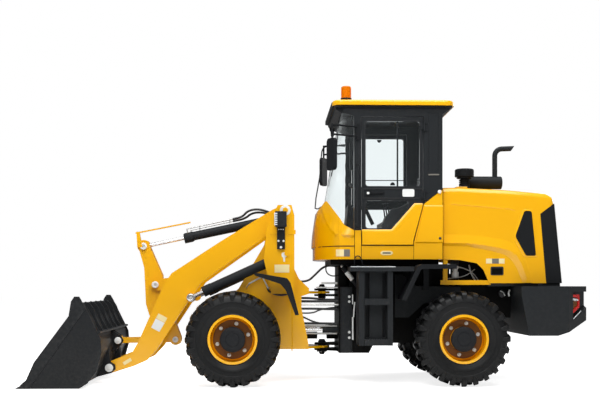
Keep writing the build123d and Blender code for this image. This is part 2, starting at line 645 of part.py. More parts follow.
with BuildPart() as bucket:
    side_plate(shell_band(SHELL_OUTLINE, BUCKET_WALL), 0, BUCKET_WIDTH)
    for side in SIDES:
        side_plate(SIDE_OUTLINE, side * (BUCKET_WIDTH - BUCKET_SIDE) / 2, BUCKET_SIDE)
    # Cutting edge with a bevelled front.
    side_plate(((TIP_X, BUCKET_UNDER_Z), (TIP_X + EDGE_DEPTH, BUCKET_UNDER_Z),
                (TIP_X + EDGE_DEPTH, BUCKET_UNDER_Z + EDGE_THICKNESS),
                (TIP_X + 45, BUCKET_UNDER_Z + EDGE_THICKNESS)),
               0, BUCKET_WIDTH)
    # Ears for the boom and for the link.
    for side in SIDES:
        for ear_shift in (-EAR_OFFSET, EAR_OFFSET):
            side_plate(((-2400, 75), (BUCKET_PIVOT[0] + 20, BUCKET_PIVOT[1] - 62),
                        (BUCKET_PIVOT[0] + 62, BUCKET_PIVOT[1] - 20),
                        (BUCKET_PIVOT[0] + 62, BUCKET_PIVOT[1] + 30),
                        (BUCKET_PIVOT[0] + 10, BUCKET_PIVOT[1] + 62),
                        (-2262, 420), (-2290, 420), (-2352, 180)),
                       side * EAR_Y + ear_shift, EAR_PLATE)
        side_plate(((-2275, 330), (LINK_PIVOT[0] + 30, LINK_PIVOT[1] - 55),
                    (LINK_PIVOT[0] + 58, LINK_PIVOT[1]),
                    (LINK_PIVOT[0] + 30, LINK_PIVOT[1] + 55), (-2290, 600), (-2300, 560), (-2285, 400)),
                   side * LINK_EAR_Y, EAR_PLATE)
        cross_pin(BUCKET_PIVOT, MAIN_PIN_RADIUS, side * (EAR_Y - EAR_OFFSET - 24),
                  side * (EAR_Y + EAR_OFFSET + 24))
    cross_pin(LINK_PIVOT, LINK_PIN_RADIUS, -LINK_EAR_Y - 24, LINK_EAR_Y + 24)
    # Lapped strip along the front of each side plate: the rest of the plate stands back a little.
    for side in SIDES:
        side_plate(((-2990, 30), (-2385, 888), (-2200, 888), (-2200, 0), (-2990, 0)),
                   side * BUCKET_WIDTH / 2, 2 * BUCKET_LAP, mode=Mode.SUBTRACT)
    # Wavy stiffeners under the top lip, down to a ledge across the back.
    for rib in range(RIB_COUNT):
        wavy_rib((rib - (RIB_COUNT - 1) / 2) * RIB_STEP)
    side_plate(((-2310, RIB_FOOT_Z + 12), (-2250, RIB_FOOT_Z + 6), (-2250, RIB_FOOT_Z - 14),
                (-2300, RIB_FOOT_Z - 20)),
               0, BUCKET_WIDTH - BUCKET_SIDE)
save(bucket, "bucket")

# ---------------------------------------------------------------- hydraulic cylinders


def pin_distance(base, eye):
    """How far a cylinder's two pins are apart at rest."""
    return hypot(eye[0] - base[0], eye[1] - base[1])


def side_barrel(base, eye, gland_gap, y, radius, rod_radius, pin_radius):
    """A barrel that lies in a side view, with an eye round its base pin and a bore for its rod."""
    length = pin_distance(base, eye) - gland_gap - radius
    gland = along(base, eye, length)
    rod(in_side(along(base, eye, radius * 0.7), y), in_side(gland, y), radius)
    rod(in_side(along(base, eye, length - 2 * radius), y), in_side(gland, y), radius + GLAND_RING)
    cross_pin(base, radius + 3, y - radius - EYE_PROUD, y + radius + EYE_PROUD)
    cross_pin(base, pin_radius + PIN_PLAY, y - 2 * radius, y + 2 * radius, mode=Mode.SUBTRACT)
    bore_start = along(base, eye, radius + BORE_FOOT)
    rod(in_side(bore_start, y), in_side(along(base, eye, length - 40), y), radius - BARREL_WALL,
        mode=Mode.SUBTRACT)
    rod(in_side(bore_start, y), in_side(along(base, eye, length + 10), y), rod_radius + ROD_PLAY,
        mode=Mode.SUBTRACT)


def side_rod(base, eye, start, y, rod_radius, eye_radius, eye_width, bore_radius):
    """A piston rod in a side view: from its piston inside the barrel to the eye at its end."""
    rod(in_side(along(base, eye, start), y),
        in_side(along(base, eye, pin_distance(base, eye) - eye_radius * 0.6), y),
        rod_radius)
    cross_pin(eye, eye_radius, y - eye_width / 2, y + eye_width / 2)
    if bore_radius > 0:
        cross_pin(eye, bore_radius, y - eye_width, y + eye_width, mode=Mode.SUBTRACT)


with BuildPart() as lift_barrels:
    for side in SIDES:
        side_barrel(LIFT_BASE, LIFT_EYE, LIFT_GLAND_GAP, side * LIFT_Y,
                    LIFT_BARREL_RADIUS, LIFT_ROD_RADIUS, MAIN_PIN_RADIUS)
save(lift_barrels, "lift_barrels")

with BuildPart() as lift_rods:
    for side in SIDES:
        side_rod(LIFT_BASE, LIFT_EYE, LIFT_BARREL_RADIUS + BORE_FOOT + LIFT_PISTON_GAP, side * LIFT_Y,
                 LIFT_ROD_RADIUS, LIFT_EYE_RADIUS, LIFT_EYE_WIDTH, 0)
save(lift_rods, "lift_rods")

with BuildPart() as tilt_barrel:
    side_barrel(TILT_BASE, CRANK_HEAD, TILT_GLAND_GAP, 0, TILT_BARREL_RADIUS, TILT_ROD_RADIUS,
                LINK_PIN_RADIUS)
save(tilt_barrel, "tilt_barrel")

with BuildPart() as tilt_rod:
    side_rod(TILT_BASE, CRANK_HEAD, TILT_BARREL_RADIUS + BORE_FOOT + TILT_PISTON_GAP, 0,
             TILT_ROD_RADIUS, TILT_EYE_RADIUS, LINK_WIDTH, LINK_PIN_RADIUS + PIN_PLAY)
save(tilt_rod, "tilt_rod")

for side, side_name in zip(SIDES, ("left", "right")):
    base = (STEER_BASE[0], side * STEER_BASE[1], STEER_Z)
    eye = (STEER_EYE[0], side * STEER_EYE[1], STEER_Z)
    span = hypot(STEER_BASE[0] - STEER_EYE[0], STEER_BASE[1] - STEER_EYE[1])
    length = span - STEER_GLAND_GAP - STEER_EYE_RADIUS
    bore_start = along(base, eye, STEER_EYE_RADIUS + 39)
    with BuildPart() as steer_barrel:
        rod(along(base, eye, 30), along(base, eye, length), STEER_BARREL_RADIUS)
        upright(base[0], base[1], STEER_EYE_RADIUS + 2, STEER_Z - STEER_EYE_HALF, STEER_Z + STEER_EYE_HALF)
        upright(base[0], base[1], STEER_PIN_RADIUS + PIN_PLAY, STEER_Z - 50, STEER_Z + 50,
                mode=Mode.SUBTRACT)
        rod(bore_start, along(base, eye, length - 40), STEER_BARREL_RADIUS - BARREL_WALL,
            mode=Mode.SUBTRACT)
        rod(bore_start, along(base, eye, length + 10), STEER_ROD_RADIUS + ROD_PLAY, mode=Mode.SUBTRACT)
    save(steer_barrel, f"steer_barrel_{side_name}")
    with BuildPart() as steer_rod:
        rod(along(base, eye, STEER_EYE_RADIUS + 39 + STEER_PISTON_GAP), along(base, eye, span - 20),
            STEER_ROD_RADIUS)
        upright(eye[0], eye[1], STEER_EYE_RADIUS, STEER_Z - STEER_EYE_HALF, STEER_Z + STEER_EYE_HALF)
    save(steer_rod, f"steer_rod_{side_name}")

# ---------------------------------------------------------------- rear frame
REAR_OUTLINE = (
    (REAR_FRONT_X, 341),
    (700, 341),
    (760, 455),
    (1380, 455),
    (1460, FRAME_ARCH_Z),
    (1960, FRAME_ARCH_Z),
    (WEIGHT_FRONT_X - SEAT_GAP, FRAME_ARCH_Z),
    (WEIGHT_FRONT_X - SEAT_GAP, FRAME_TOP_Z),
    (REAR_FRONT_X, FRAME_TOP_Z),
)
CAB_DECK_LOW_Z = 1346
ENGINE_BEAM_Z = 800
ENGINE_TOP_Z = 1500
with BuildPart() as rear_frame:
    for side in SIDES:
        side_plate(REAR_OUTLINE, side * REAR_PLATE_Y, REAR_PLATE)
        # Outriggers for the steps and platforms.
        for beam_z in (700, FRAME_TOP_Z - 80):
            block((640, 820), (side * REAR_PLATE_Y, side * (560 - SEAT_GAP)), (beam_z, beam_z + 60))
        # Steering cylinder lugs.
        block((STEER_BASE[0] - 60, STEER_BASE[0] + 60), (side * (STEER_BASE[1] - 70), side * REAR_PLATE_Y),
              (STEER_Z - STEER_EYE_HALF - 28, STEER_Z - STEER_EYE_HALF - SEAT_GAP))
        upright(STEER_BASE[0], side * STEER_BASE[1], STEER_PIN_RADIUS, STEER_Z - STEER_EYE_HALF - 10,
                STEER_Z + STEER_EYE_HALF + 12)
        # Pedestals under the cab and under the platforms.
        block((480, 560), (side * (REAR_PLATE_Y - 12), side * (REAR_PLATE_Y + 12)),
              (FRAME_TOP_Z, CAB_FLOOR_Z - SEAT_GAP))
        block((1340, 1420), (side * (REAR_PLATE_Y - 12), side * (REAR_PLATE_Y + 12)),
              (FRAME_TOP_Z, CAB_FLOOR_Z - SEAT_GAP))
    # Deck that the cab stands on, and its front mount.
    block((250, 1470), (-560, 560), (CAB_DECK_LOW_Z, CAB_FLOOR_Z - SEAT_GAP))
    block((REAR_FRONT_X, REAR_FRONT_X + 90), (-300, 300), (FRAME_TOP_Z, CAB_DECK_LOW_Z))
    block((REAR_FRONT_X, REAR_FRONT_X + 25), (-REAR_PLATE_Y, REAR_PLATE_Y), (341, FRAME_TOP_Z))
    block((WEIGHT_FRONT_X - 25, WEIGHT_FRONT_X - SEAT_GAP), (-REAR_PLATE_Y, REAR_PLATE_Y),
          (FRAME_ARCH_Z, FRAME_TOP_Z))
    for beam_x in (900, 1300, 1800, 2200):
        block((beam_x - 40, beam_x + 40), (-REAR_PLATE_Y, REAR_PLATE_Y),
              (ENGINE_BEAM_Z - 50, ENGINE_BEAM_Z))
    # Cradle plates that hold the rear axle's trunnions.
    for cradle_x in (REAR_AXLE_X - PIVOT_REACH + 30, REAR_AXLE_X + PIVOT_REACH - 30):
        block((cradle_x - 25, cradle_x + 25), (-REAR_PLATE_Y, REAR_PLATE_Y), (AXLE_Z - 110, ENGINE_BEAM_Z))
        rod((cradle_x - 30, 0, AXLE_Z), (cradle_x + 30, 0, AXLE_Z), PIVOT_RADIUS + PIN_PLAY,
            mode=Mode.SUBTRACT)
    # Openings in the front plate for the prop shaft and the steering cylinders.
    rod((REAR_FRONT_X - 10, 0, AXLE_Z), (REAR_FRONT_X + 40, 0, AXLE_Z), SHAFT_RADIUS + 30,
        mode=Mode.SUBTRACT)
    for side in SIDES:
        block((REAR_FRONT_X - 10, REAR_FRONT_X + 40),
              (side * (STEER_BASE[1] - 100), side * (STEER_BASE[1] + 100)),
              (STEER_Z - STEER_BARREL_RADIUS - 22, STEER_Z + STEER_BARREL_RADIUS + 22), mode=Mode.SUBTRACT)
    # Lugs above and below each hinge plate, and the two pins.
    for plate_z in (UPPER_HINGE_Z, LOWER_HINGE_Z):
        for low in (plate_z - HINGE_LUG_ROOM - 24, plate_z + HINGE_LUG_ROOM):
            plan_plate(((HINGE_X, -HINGE_BOSS_RADIUS), (REAR_FRONT_X, -200), (REAR_FRONT_X, 200),
                        (HINGE_X, HINGE_BOSS_RADIUS)), low, 24)
            upright(HINGE_X, 0, HINGE_BOSS_RADIUS, low, low + 24)
        upright(HINGE_X, 0, HINGE_PIN_RADIUS, plate_z - HINGE_LUG_ROOM - 60, plate_z + HINGE_LUG_ROOM + 60)
save(rear_frame, "rear_frame")

with BuildPart() as engine_and_gearbox:
    block((1760, 2290), (-270, 270), (ENGINE_BEAM_Z, ENGINE_TOP_Z))
    block((1560, 1760), (-210, 210), (ENGINE_BEAM_Z + 20, 1250))
    block((860, 1360), (-200, 200), (ENGINE_BEAM_Z, 1180))
    block((640, 1320), (-340, 340), (FRAME_TOP_Z + 16, CAB_DECK_LOW_Z - 6))
    rod((1350, 0, 1000), (1570, 0, 1000), 120)
    block((980, 1180), (-140, 140), (470, ENGINE_BEAM_Z + 5))
    rod((HINGE_X + JOINT_GAP, 0, AXLE_Z), (1000, 0, AXLE_Z), SHAFT_RADIUS)
save(engine_and_gearbox, "engine_and_gearbox")

CORNER_RUN = (REAR_X - WEIGHT_CREASE_X, WEIGHT_HALF_WIDTH - WEIGHT_BACK_HALF)
CORNER_MIDDLE = (WEIGHT_CREASE_X + CORNER_RUN[0] / 2, WEIGHT_HALF_WIDTH - CORNER_RUN[1] / 2)
POCKET_DEPTH = 56
LAMP_DEPTH = 38
# Places on a chamfered corner, (distance back from its middle, z).
POCKET_OUTLINE = ((-126, 1042), (300, 1042), (300, 888), (-126, 726))
LAMP_OUTLINE = ((-112, 1012), (84, 1012), (84, 868), (-112, 790), (-112, 824), (52, 890), (52, 982),
                (-112, 982))


def corner_plate(outline, side, start, end, mode=Mode.ADD):
    """A plate on a chamfered corner of the counterweight, from one depth to another, outwards positive."""
    normal = (CORNER_RUN[1], side * CORNER_RUN[0], 0)
    back = (-side * CORNER_RUN[0], CORNER_RUN[1], 0)
    middle = (CORNER_MIDDLE[0], side * CORNER_MIDDLE[1], 0)
    with BuildSketch(Plane(origin=middle, x_dir=back, z_dir=normal).offset(start)) as face:
        with BuildLine():
            Polyline(*((-side * run, z) for run, z in outline), close=True)
        make_face()
    extrude(face.sketch, amount=end - start, mode=mode)


with BuildPart() as counterweight:
    plan_plate(((WEIGHT_FRONT_X, -WEIGHT_HALF_WIDTH), (WEIGHT_CREASE_X, -WEIGHT_HALF_WIDTH),
                (REAR_X, -WEIGHT_BACK_HALF),
                (REAR_X, WEIGHT_BACK_HALF), (WEIGHT_CREASE_X, WEIGHT_HALF_WIDTH),
                (WEIGHT_FRONT_X, WEIGHT_HALF_WIDTH)),
               WEIGHT_LOW_Z, WEIGHT_TOP_Z - WEIGHT_LOW_Z)
    # Slanted front end and slanted underside at the back.
    side_plate(((WEIGHT_FRONT_X - 1, WEIGHT_LOW_Z - 1), (2423, WEIGHT_LOW_Z - 1),
                (WEIGHT_FRONT_X - 1, 1000)),
               0, 2 * WEIGHT_HALF_WIDTH + 2, mode=Mode.SUBTRACT)
    side_plate(((2735, WEIGHT_LOW_Z - 1), (REAR_X + 1, WEIGHT_LOW_Z - 1), (REAR_X + 1, 719), (2859, 598)),
               0, 2 * WEIGHT_HALF_WIDTH + 2, mode=Mode.SUBTRACT)
    # Raised seat under the engine cover.
    block((2640, 2840), (-HOOD_HALF_WIDTH + 20, HOOD_HALF_WIDTH - 20),
          (WEIGHT_TOP_Z - 20, HOOD_LOW_Z - SEAT_GAP))
    # Pockets for the tail lamps in the chamfered corners.
    for side in SIDES:
        corner_plate(POCKET_OUTLINE, side, -POCKET_DEPTH, 60, mode=Mode.SUBTRACT)
    # Tow hitch: a slot in the back with an upright pin hole through it.
    block((REAR_X - 150, REAR_X + 10), (-70, 70), (HITCH_SLOT_Z, HITCH_SLOT_Z + 90), mode=Mode.SUBTRACT)
    upright(REAR_X - 75, 0, HITCH_RADIUS, HITCH_FOOT_Z, WEIGHT_TOP_Z + 10, mode=Mode.SUBTRACT)
save(counterweight, "counterweight")

with BuildPart() as tail_lamps:
    for side in SIDES:
        corner_plate(LAMP_OUTLINE, side, SEAT_GAP - POCKET_DEPTH, SEAT_GAP - POCKET_DEPTH + LAMP_DEPTH)
save(tail_lamps, "tail_lamps")

# ---------------------------------------------------------------- engine cover
GRILLE_TOP = (2787, 2046)              # back edge of the hood's roof
GRILLE_SHOULDER = (2621, 1923)
GRILLE_FOOT = (2688, HOOD_LOW_Z)
HOOD_OUTLINE = (
    (HOOD_FRONT_X, CAB_FLOOR_Z),
    (HOOD_FRONT_X, HOOD_TOP_Z - 4),
    (1700, HOOD_TOP_Z),
    (2250, 2194),
    (2690, 2156),
    (2768, 2118),
    GRILLE_TOP,
    GRILLE_SHOULDER,
    GRILLE_FOOT,
    (2040, HOOD_LOW_Z),
    (1975, 1290),
    (1900, 1364),
    (1700, 1400),
)
with BuildPart() as hood:
    side_plate(HOOD_OUTLINE, 0, 2 * HOOD_HALF_WIDTH)
    outer_edges = hood.edges().filter_by(lambda edge: abs(edge.center().Y) > HOOD_HALF_WIDTH - 1)
    top_edges = outer_edges.filter_by(lambda edge: edge.center().Z > 2060)
    fillet(top_edges, HOOD_EDGE_RADIUS)
    # Hollow inside, open below and in front.
    side_plate(((HOOD_FRONT_X - 10, 1000), (HOOD_FRONT_X - 10, HOOD_TOP_Z - 40), (1700, HOOD_TOP_Z - 36),
                (2250, 2158), (2660, 2118), (2738, 2070), (2738, 1000)),
               0, 2 * (HOOD_HALF_WIDTH - HOOD_WALL), mode=Mode.SUBTRACT)
    # Seat for the pre-cleaner, and the hole that the exhaust rises through.
    upright(PRECLEANER[0], PRECLEANER[1], 75, HOOD_TOP_Z - 50, HOOD_TOP_Z + 8)
    upright(EXHAUST_STUB[0], EXHAUST_STUB[1], EXHAUST_STUB_RADIUS + 6, HOOD_TOP_Z - 100, HOOD_TOP_Z + 10,
            mode=Mode.SUBTRACT)
    # Sill rail and post in front of the wheel arch.
    for side in SIDES:
        block((1490, 2060), (side * (HOOD_HALF_WIDTH - 50), side * (HOOD_HALF_WIDTH - 9)), (1120, 1172))
        block((HOOD_FRONT_X, HOOD_FRONT_X + 50),
              (side * (HOOD_HALF_WIDTH - 50), side * (HOOD_HALF_WIDTH - 9)), (1120, 1440))
    # Side vents.
    for side in SIDES:
        side_plate(((2441, 1958), (2524, 1952), (2574, 1448), (2458, 1448), (2336, 1668)),
                   side * HOOD_HALF_WIDTH, 60, mode=Mode.SUBTRACT)
save(hood, "hood")

GRILLE_HALF = HOOD_HALF_WIDTH - 3
REAR_GRILLE = (
    (GRILLE_FOOT[0] + SEAT_GAP, HOOD_LOW_Z),
    (2880, HOOD_LOW_Z),
    (GRILLE_TOP[0] + 6, GRILLE_TOP[1] - 12),
    (GRILLE_TOP[0] - 8, GRILLE_TOP[1] - 6),
    (GRILLE_SHOULDER[0] + SEAT_GAP, GRILLE_SHOULDER[1] - 1),
)
with BuildPart() as grilles:
    side_plate(REAR_GRILLE, 0, 2 * GRILLE_HALF)
    side_edges = grilles.edges().filter_by(lambda edge: abs(edge.center().Y) > GRILLE_HALF - 1)
    fillet(side_edges.filter_by(lambda edge: edge.center().X > 2820), 40)
    side_plate(((2500, HOOD_LOW_Z - 10), (2862, HOOD_LOW_Z - 10), (2776, GRILLE_TOP[1] - 34),
                (2700, GRILLE_SHOULDER[1] + 2),
                (2500, GRILLE_SHOULDER[1] - 20)), 0, 2 * (GRILLE_HALF - HOOD_WALL), mode=Mode.SUBTRACT)
    for side in SIDES:
        side_plate(((2441, 1957), (2523, 1951), (2572, 1449), (2458, 1449), (2338, 1668)),
                   side * (HOOD_HALF_WIDTH - 7), 8)
save(grilles, "grilles")

PIPE_X = 2228
PIPE_TOP_Z = 2726
PIPE_END_X = 2470
PIPE_BEND = 84
with BuildPart() as exhaust:
    rod((1905, EXHAUST_STUB[1], MUFFLER_Z), (2306, EXHAUST_STUB[1], MUFFLER_Z), MUFFLER_RADIUS)
    fillet(exhaust.edges(), 12)
    upright(EXHAUST_STUB[0], EXHAUST_STUB[1], EXHAUST_STUB_RADIUS, ENGINE_TOP_Z + SEAT_GAP, MUFFLER_Z)
    # Tail pipe: up, round a bend and out to the back, with a slanted end.
    with BuildLine() as pipe_run:
        FilletPolyline((PIPE_X, EXHAUST_STUB[1], MUFFLER_Z), (PIPE_X, EXHAUST_STUB[1], PIPE_TOP_Z),
                       (PIPE_END_X, EXHAUST_STUB[1], PIPE_TOP_Z + 10), radius=PIPE_BEND)
    with BuildSketch(Plane.XY.offset(MUFFLER_Z)):
        with Locations((PIPE_X, EXHAUST_STUB[1])):
            Circle(PIPE_RADIUS)
    sweep(path=pipe_run.line)
    rod((PIPE_END_X - 110, EXHAUST_STUB[1], PIPE_TOP_Z + 5),
        (PIPE_END_X + 10, EXHAUST_STUB[1], PIPE_TOP_Z + 10),
        PIPE_RADIUS - 4, mode=Mode.SUBTRACT)
    side_plate(((PIPE_END_X + 20, PIPE_TOP_Z + 50), (PIPE_END_X - 4, PIPE_TOP_Z + 50),
                (PIPE_END_X - 66, PIPE_TOP_Z - 40),
                (PIPE_END_X + 20, PIPE_TOP_Z - 40)), EXHAUST_STUB[1], 200, mode=Mode.SUBTRACT)
save(exhaust, "exhaust")

# Heights of the pre-cleaner's turned steps above its seat, (radius, low, high).
PRECLEANER_STEPS = ((62, 0, 62), (48, 60, 74), (62, 72, 84), (48, 82, 96), (62, 94, 106), (48, 104, 126),
                    (88, 122, 146),
                    (110, 143, 232))
with BuildPart() as air_precleaner:
    precleaner_base = HOOD_TOP_Z + 8 + SEAT_GAP
    for radius, low, high in PRECLEANER_STEPS:
        upright(PRECLEANER[0], PRECLEANER[1], radius, precleaner_base + low, precleaner_base + high)
    fillet(air_precleaner.edges().group_by(Axis.Z)[-1], 20)
save(air_precleaner, "air_precleaner")

# ---------------------------------------------------------------- cab
# Lower body seen from the side: nose, side sill, raised rear corner, (x, z).
NOSE_X = 57
NOSE_SWEEP = 285                       # how far the nose runs back from the middle to the side
BODY_OUTLINE = (
    (82, CAB_FLOOR_Z),
    (82, 1550),
    (NOSE_X, 1556),
    (71, 1694),
    (117, 1972),
    (208, 2070),
    (230, 2030),
    (398, 1788),
    (POST_FRONT_X, 1728),
    (DOOR_FRONT_X, 1728),
    (DOOR_FRONT_X, DOOR_SILL_Z),
    (1175, DOOR_SILL_Z),
    (1175, 1613),
    (DOOR_REAR_X, 2020),
    (CAB_BACK_X, 2183),
    (CAB_BACK_X, CAB_FLOOR_Z),
)
CAB_INNER = CAB_HALF_WIDTH - CAB_WALL


def nose_plan(front_x, half_width, sweep, back_x, z_low, height, mode=Mode.ADD):
    """A level block whose front is one arc from side to side."""
    with BuildSketch(Plane.XY.offset(z_low)) as face:
        with BuildLine():
            ThreePointArc((front_x + sweep, -half_width), (front_x, 0), (front_x + sweep, half_width))
            Polyline((front_x + sweep, half_width), (back_x, half_width), (back_x, -half_width),
                     (front_x + sweep, -half_width))
        make_face()
    extrude(face.sketch, amount=height, mode=mode)


with BuildPart() as cab_body:
    nose_plan(NOSE_X, CAB_HALF_WIDTH, NOSE_SWEEP, CAB_BACK_X, CAB_FLOOR_Z, 900)
    side_plate(BODY_OUTLINE, 0, 2 * CAB_HALF_WIDTH + 10, mode=Mode.INTERSECT)
    nose_plan(NOSE_X + CAB_WALL + 24, CAB_INNER, NOSE_SWEEP, CAB_BACK_X - CAB_WALL, CAB_FLOOR_Z + 40, 900,
              mode=Mode.SUBTRACT)
save(cab_body, "cab_body")

# Side frames, roof rails and rear wall in one welded frame.
FRAME_INNER = CAB_HALF_WIDTH - 42
DOOR_HINGE = (DOOR_REAR_X + 8, CAB_HALF_WIDTH + 14)
DOOR_HINGES_Z = (2090, 2860)
DOOR_PIN_RADIUS = 6
KNUCKLE_RADIUS = 13
KNUCKLE_HEIGHT = 60
HEADER_Z = DOOR_TOP_Z + PANEL_GAP
SCREEN_HEAD_Z = HEADER_Z + 40
LINING = 24
RAIL_X = 535
RAIL_Y = 765
RAIL_RADIUS = 16
RAIL_LOW_Z = 1756
RAIL_HIGH_Z = 2446
with BuildPart() as cab_frame:
    for side in SIDES:
        frame_y = side * (CAB_HALF_WIDTH - 21)
        side_plate(((POST_FRONT_X, 1728 + SEAT_GAP), (DOOR_FRONT_X, 1728 + SEAT_GAP),
                    (DOOR_FRONT_X, HEADER_Z),
                    (DOOR_REAR_X, HEADER_Z), (DOOR_REAR_X, 2020 + SEAT_GAP + 6), (DOOR_REAR_X + 8, 2034),
                    (CAB_BACK_X, 2183 + SEAT_GAP + 10), (CAB_BACK_X, CAB_TOP_Z), (380, CAB_TOP_Z),
                    (380, SCREEN_HEAD_Z),
                    (POST_FRONT_X, HEADER_Z)), frame_y, 42)
    # Rear wall with its window, and front header.
    block((CAB_BACK_X - 42, CAB_BACK_X), (-FRAME_INNER, FRAME_INNER), (2196, CAB_TOP_Z))
    block((CAB_BACK_X - 60, CAB_BACK_X + 20), (-FRAME_INNER + 90, FRAME_INNER - 90), (2300, 2980),
          mode=Mode.SUBTRACT)
    block((380, 440), (-FRAME_INNER, FRAME_INNER), (SCREEN_HEAD_Z, CAB_TOP_Z))
    # Lining under the roof, with a visor in front and a sloping tail.
    block((ROOF_FRONT_X + 34, ROOF_BACK_X - 34), (-ROOF_HALF_WIDTH + 34, ROOF_HALF_WIDTH - 34),
          (CAB_TOP_Z - LINING, CAB_TOP_Z))
    side_plate(((ROOF_FRONT_X + 34, CAB_TOP_Z), (ROOF_FRONT_X + 42, CAB_TOP_Z - 42),
                (ROOF_FRONT_X + 104, SCREEN_HEAD_Z),
                (400, SCREEN_HEAD_Z), (400, CAB_TOP_Z)), 0, 2 * (ROOF_HALF_WIDTH - 70))
    side_plate(((CAB_BACK_X - 2, CAB_TOP_Z), (ROOF_BACK_X - 34, CAB_TOP_Z),
                (ROOF_BACK_X - 52, CAB_TOP_Z - 30),
                (CAB_BACK_X - 2, CAB_TOP_Z - 96)), 0, 2 * CAB_HALF_WIDTH)
    # Grab rail in front of the door, on two stays.
    for side in SIDES:
        upright(RAIL_X, side * RAIL_Y, RAIL_RADIUS, RAIL_LOW_Z, RAIL_HIGH_Z)
        for stay_z in (RAIL_LOW_Z + 45, RAIL_HIGH_Z - 40):
            rod((RAIL_X, side * (CAB_HALF_WIDTH - 10), stay_z), (RAIL_X, side * RAIL_Y, stay_z),
                RAIL_RADIUS - 4)
    # Door hinges: a pin held above and below the door's knuckle.
    for side in SIDES:
        for hinge_z in DOOR_HINGES_Z:
            upright(DOOR_HINGE[0], side * DOOR_HINGE[1], DOOR_PIN_RADIUS, hinge_z - 20,
                    hinge_z + KNUCKLE_HEIGHT + 20)
            for low in (hinge_z - 21, hinge_z + KNUCKLE_HEIGHT + 1):
                upright(DOOR_HINGE[0], side * DOOR_HINGE[1], KNUCKLE_RADIUS, low, low + 20)
                block((DOOR_HINGE[0], DOOR_HINGE[0] + 50),
                      (side * (CAB_HALF_WIDTH - 2), side * (CAB_HALF_WIDTH + 8)), (low, low + 20))
save(cab_frame, "cab_frame")

with BuildPart() as cab_roof:
    plan_plate(((ROOF_FRONT_X, -ROOF_HALF_WIDTH), (ROOF_BACK_X, -ROOF_HALF_WIDTH),
                (ROOF_BACK_X, ROOF_HALF_WIDTH),
                (ROOF_FRONT_X, ROOF_HALF_WIDTH)), CAB_TOP_Z + SEAT_GAP, ROOF_HEIGHT, radius=120)
    fillet(cab_roof.edges().group_by(Axis.Z)[-1], 26)
save(cab_roof, "cab_roof")

# Curved windscreen between the front posts, cut to the nose line below.
SCREEN_HALF = FRAME_INNER - SEAT_GAP
SCREEN_LOW_Z = 1700
SCREEN_TOP_Z = SCREEN_HEAD_Z - SEAT_GAP
SCREEN_LOW_X = 146
SCREEN_TOP_X = 372


def screen_section(z, front_x):
    """One level section of the windscreen: an arc strip from post to post."""
    with BuildSketch(Plane.XY.offset(z)) as face:
        with BuildLine():
            ThreePointArc((POST_FRONT_X - SEAT_GAP, -SCREEN_HALF), (front_x, 0),
                          (POST_FRONT_X - SEAT_GAP, SCREEN_HALF))
            Line((POST_FRONT_X - SEAT_GAP, SCREEN_HALF), (POST_FRONT_X - SEAT_GAP, SCREEN_HALF - 2 * GLASS))
            ThreePointArc((POST_FRONT_X - SEAT_GAP, SCREEN_HALF - 2 * GLASS), (front_x + GLASS, 0),
                          (POST_FRONT_X - SEAT_GAP, -SCREEN_HALF + 2 * GLASS))
            Line((POST_FRONT_X - SEAT_GAP, -SCREEN_HALF + 2 * GLASS),
                 (POST_FRONT_X - SEAT_GAP, -SCREEN_HALF))
        make_face()
    return face.sketch


with BuildPart() as windscreen:
    loft([screen_section(SCREEN_LOW_Z, SCREEN_LOW_X), screen_section(SCREEN_TOP_Z, SCREEN_TOP_X)])
    side_plate(((100, 2071), (208, 2071), (231, 2031), (399, 1789), (POST_FRONT_X + 4, 1730),
                (POST_FRONT_X + 4, 3200), (100, 3200)),
               0, 2 * CAB_HALF_WIDTH, mode=Mode.INTERSECT)
save(windscreen, "windscreen")

with BuildPart() as rear_window:
    block((CAB_BACK_X - 30, CAB_BACK_X - 22), (-FRAME_INNER + 90.3, FRAME_INNER - 90.3), (2300.3, 2979.7))
save(rear_window, "rear_window")

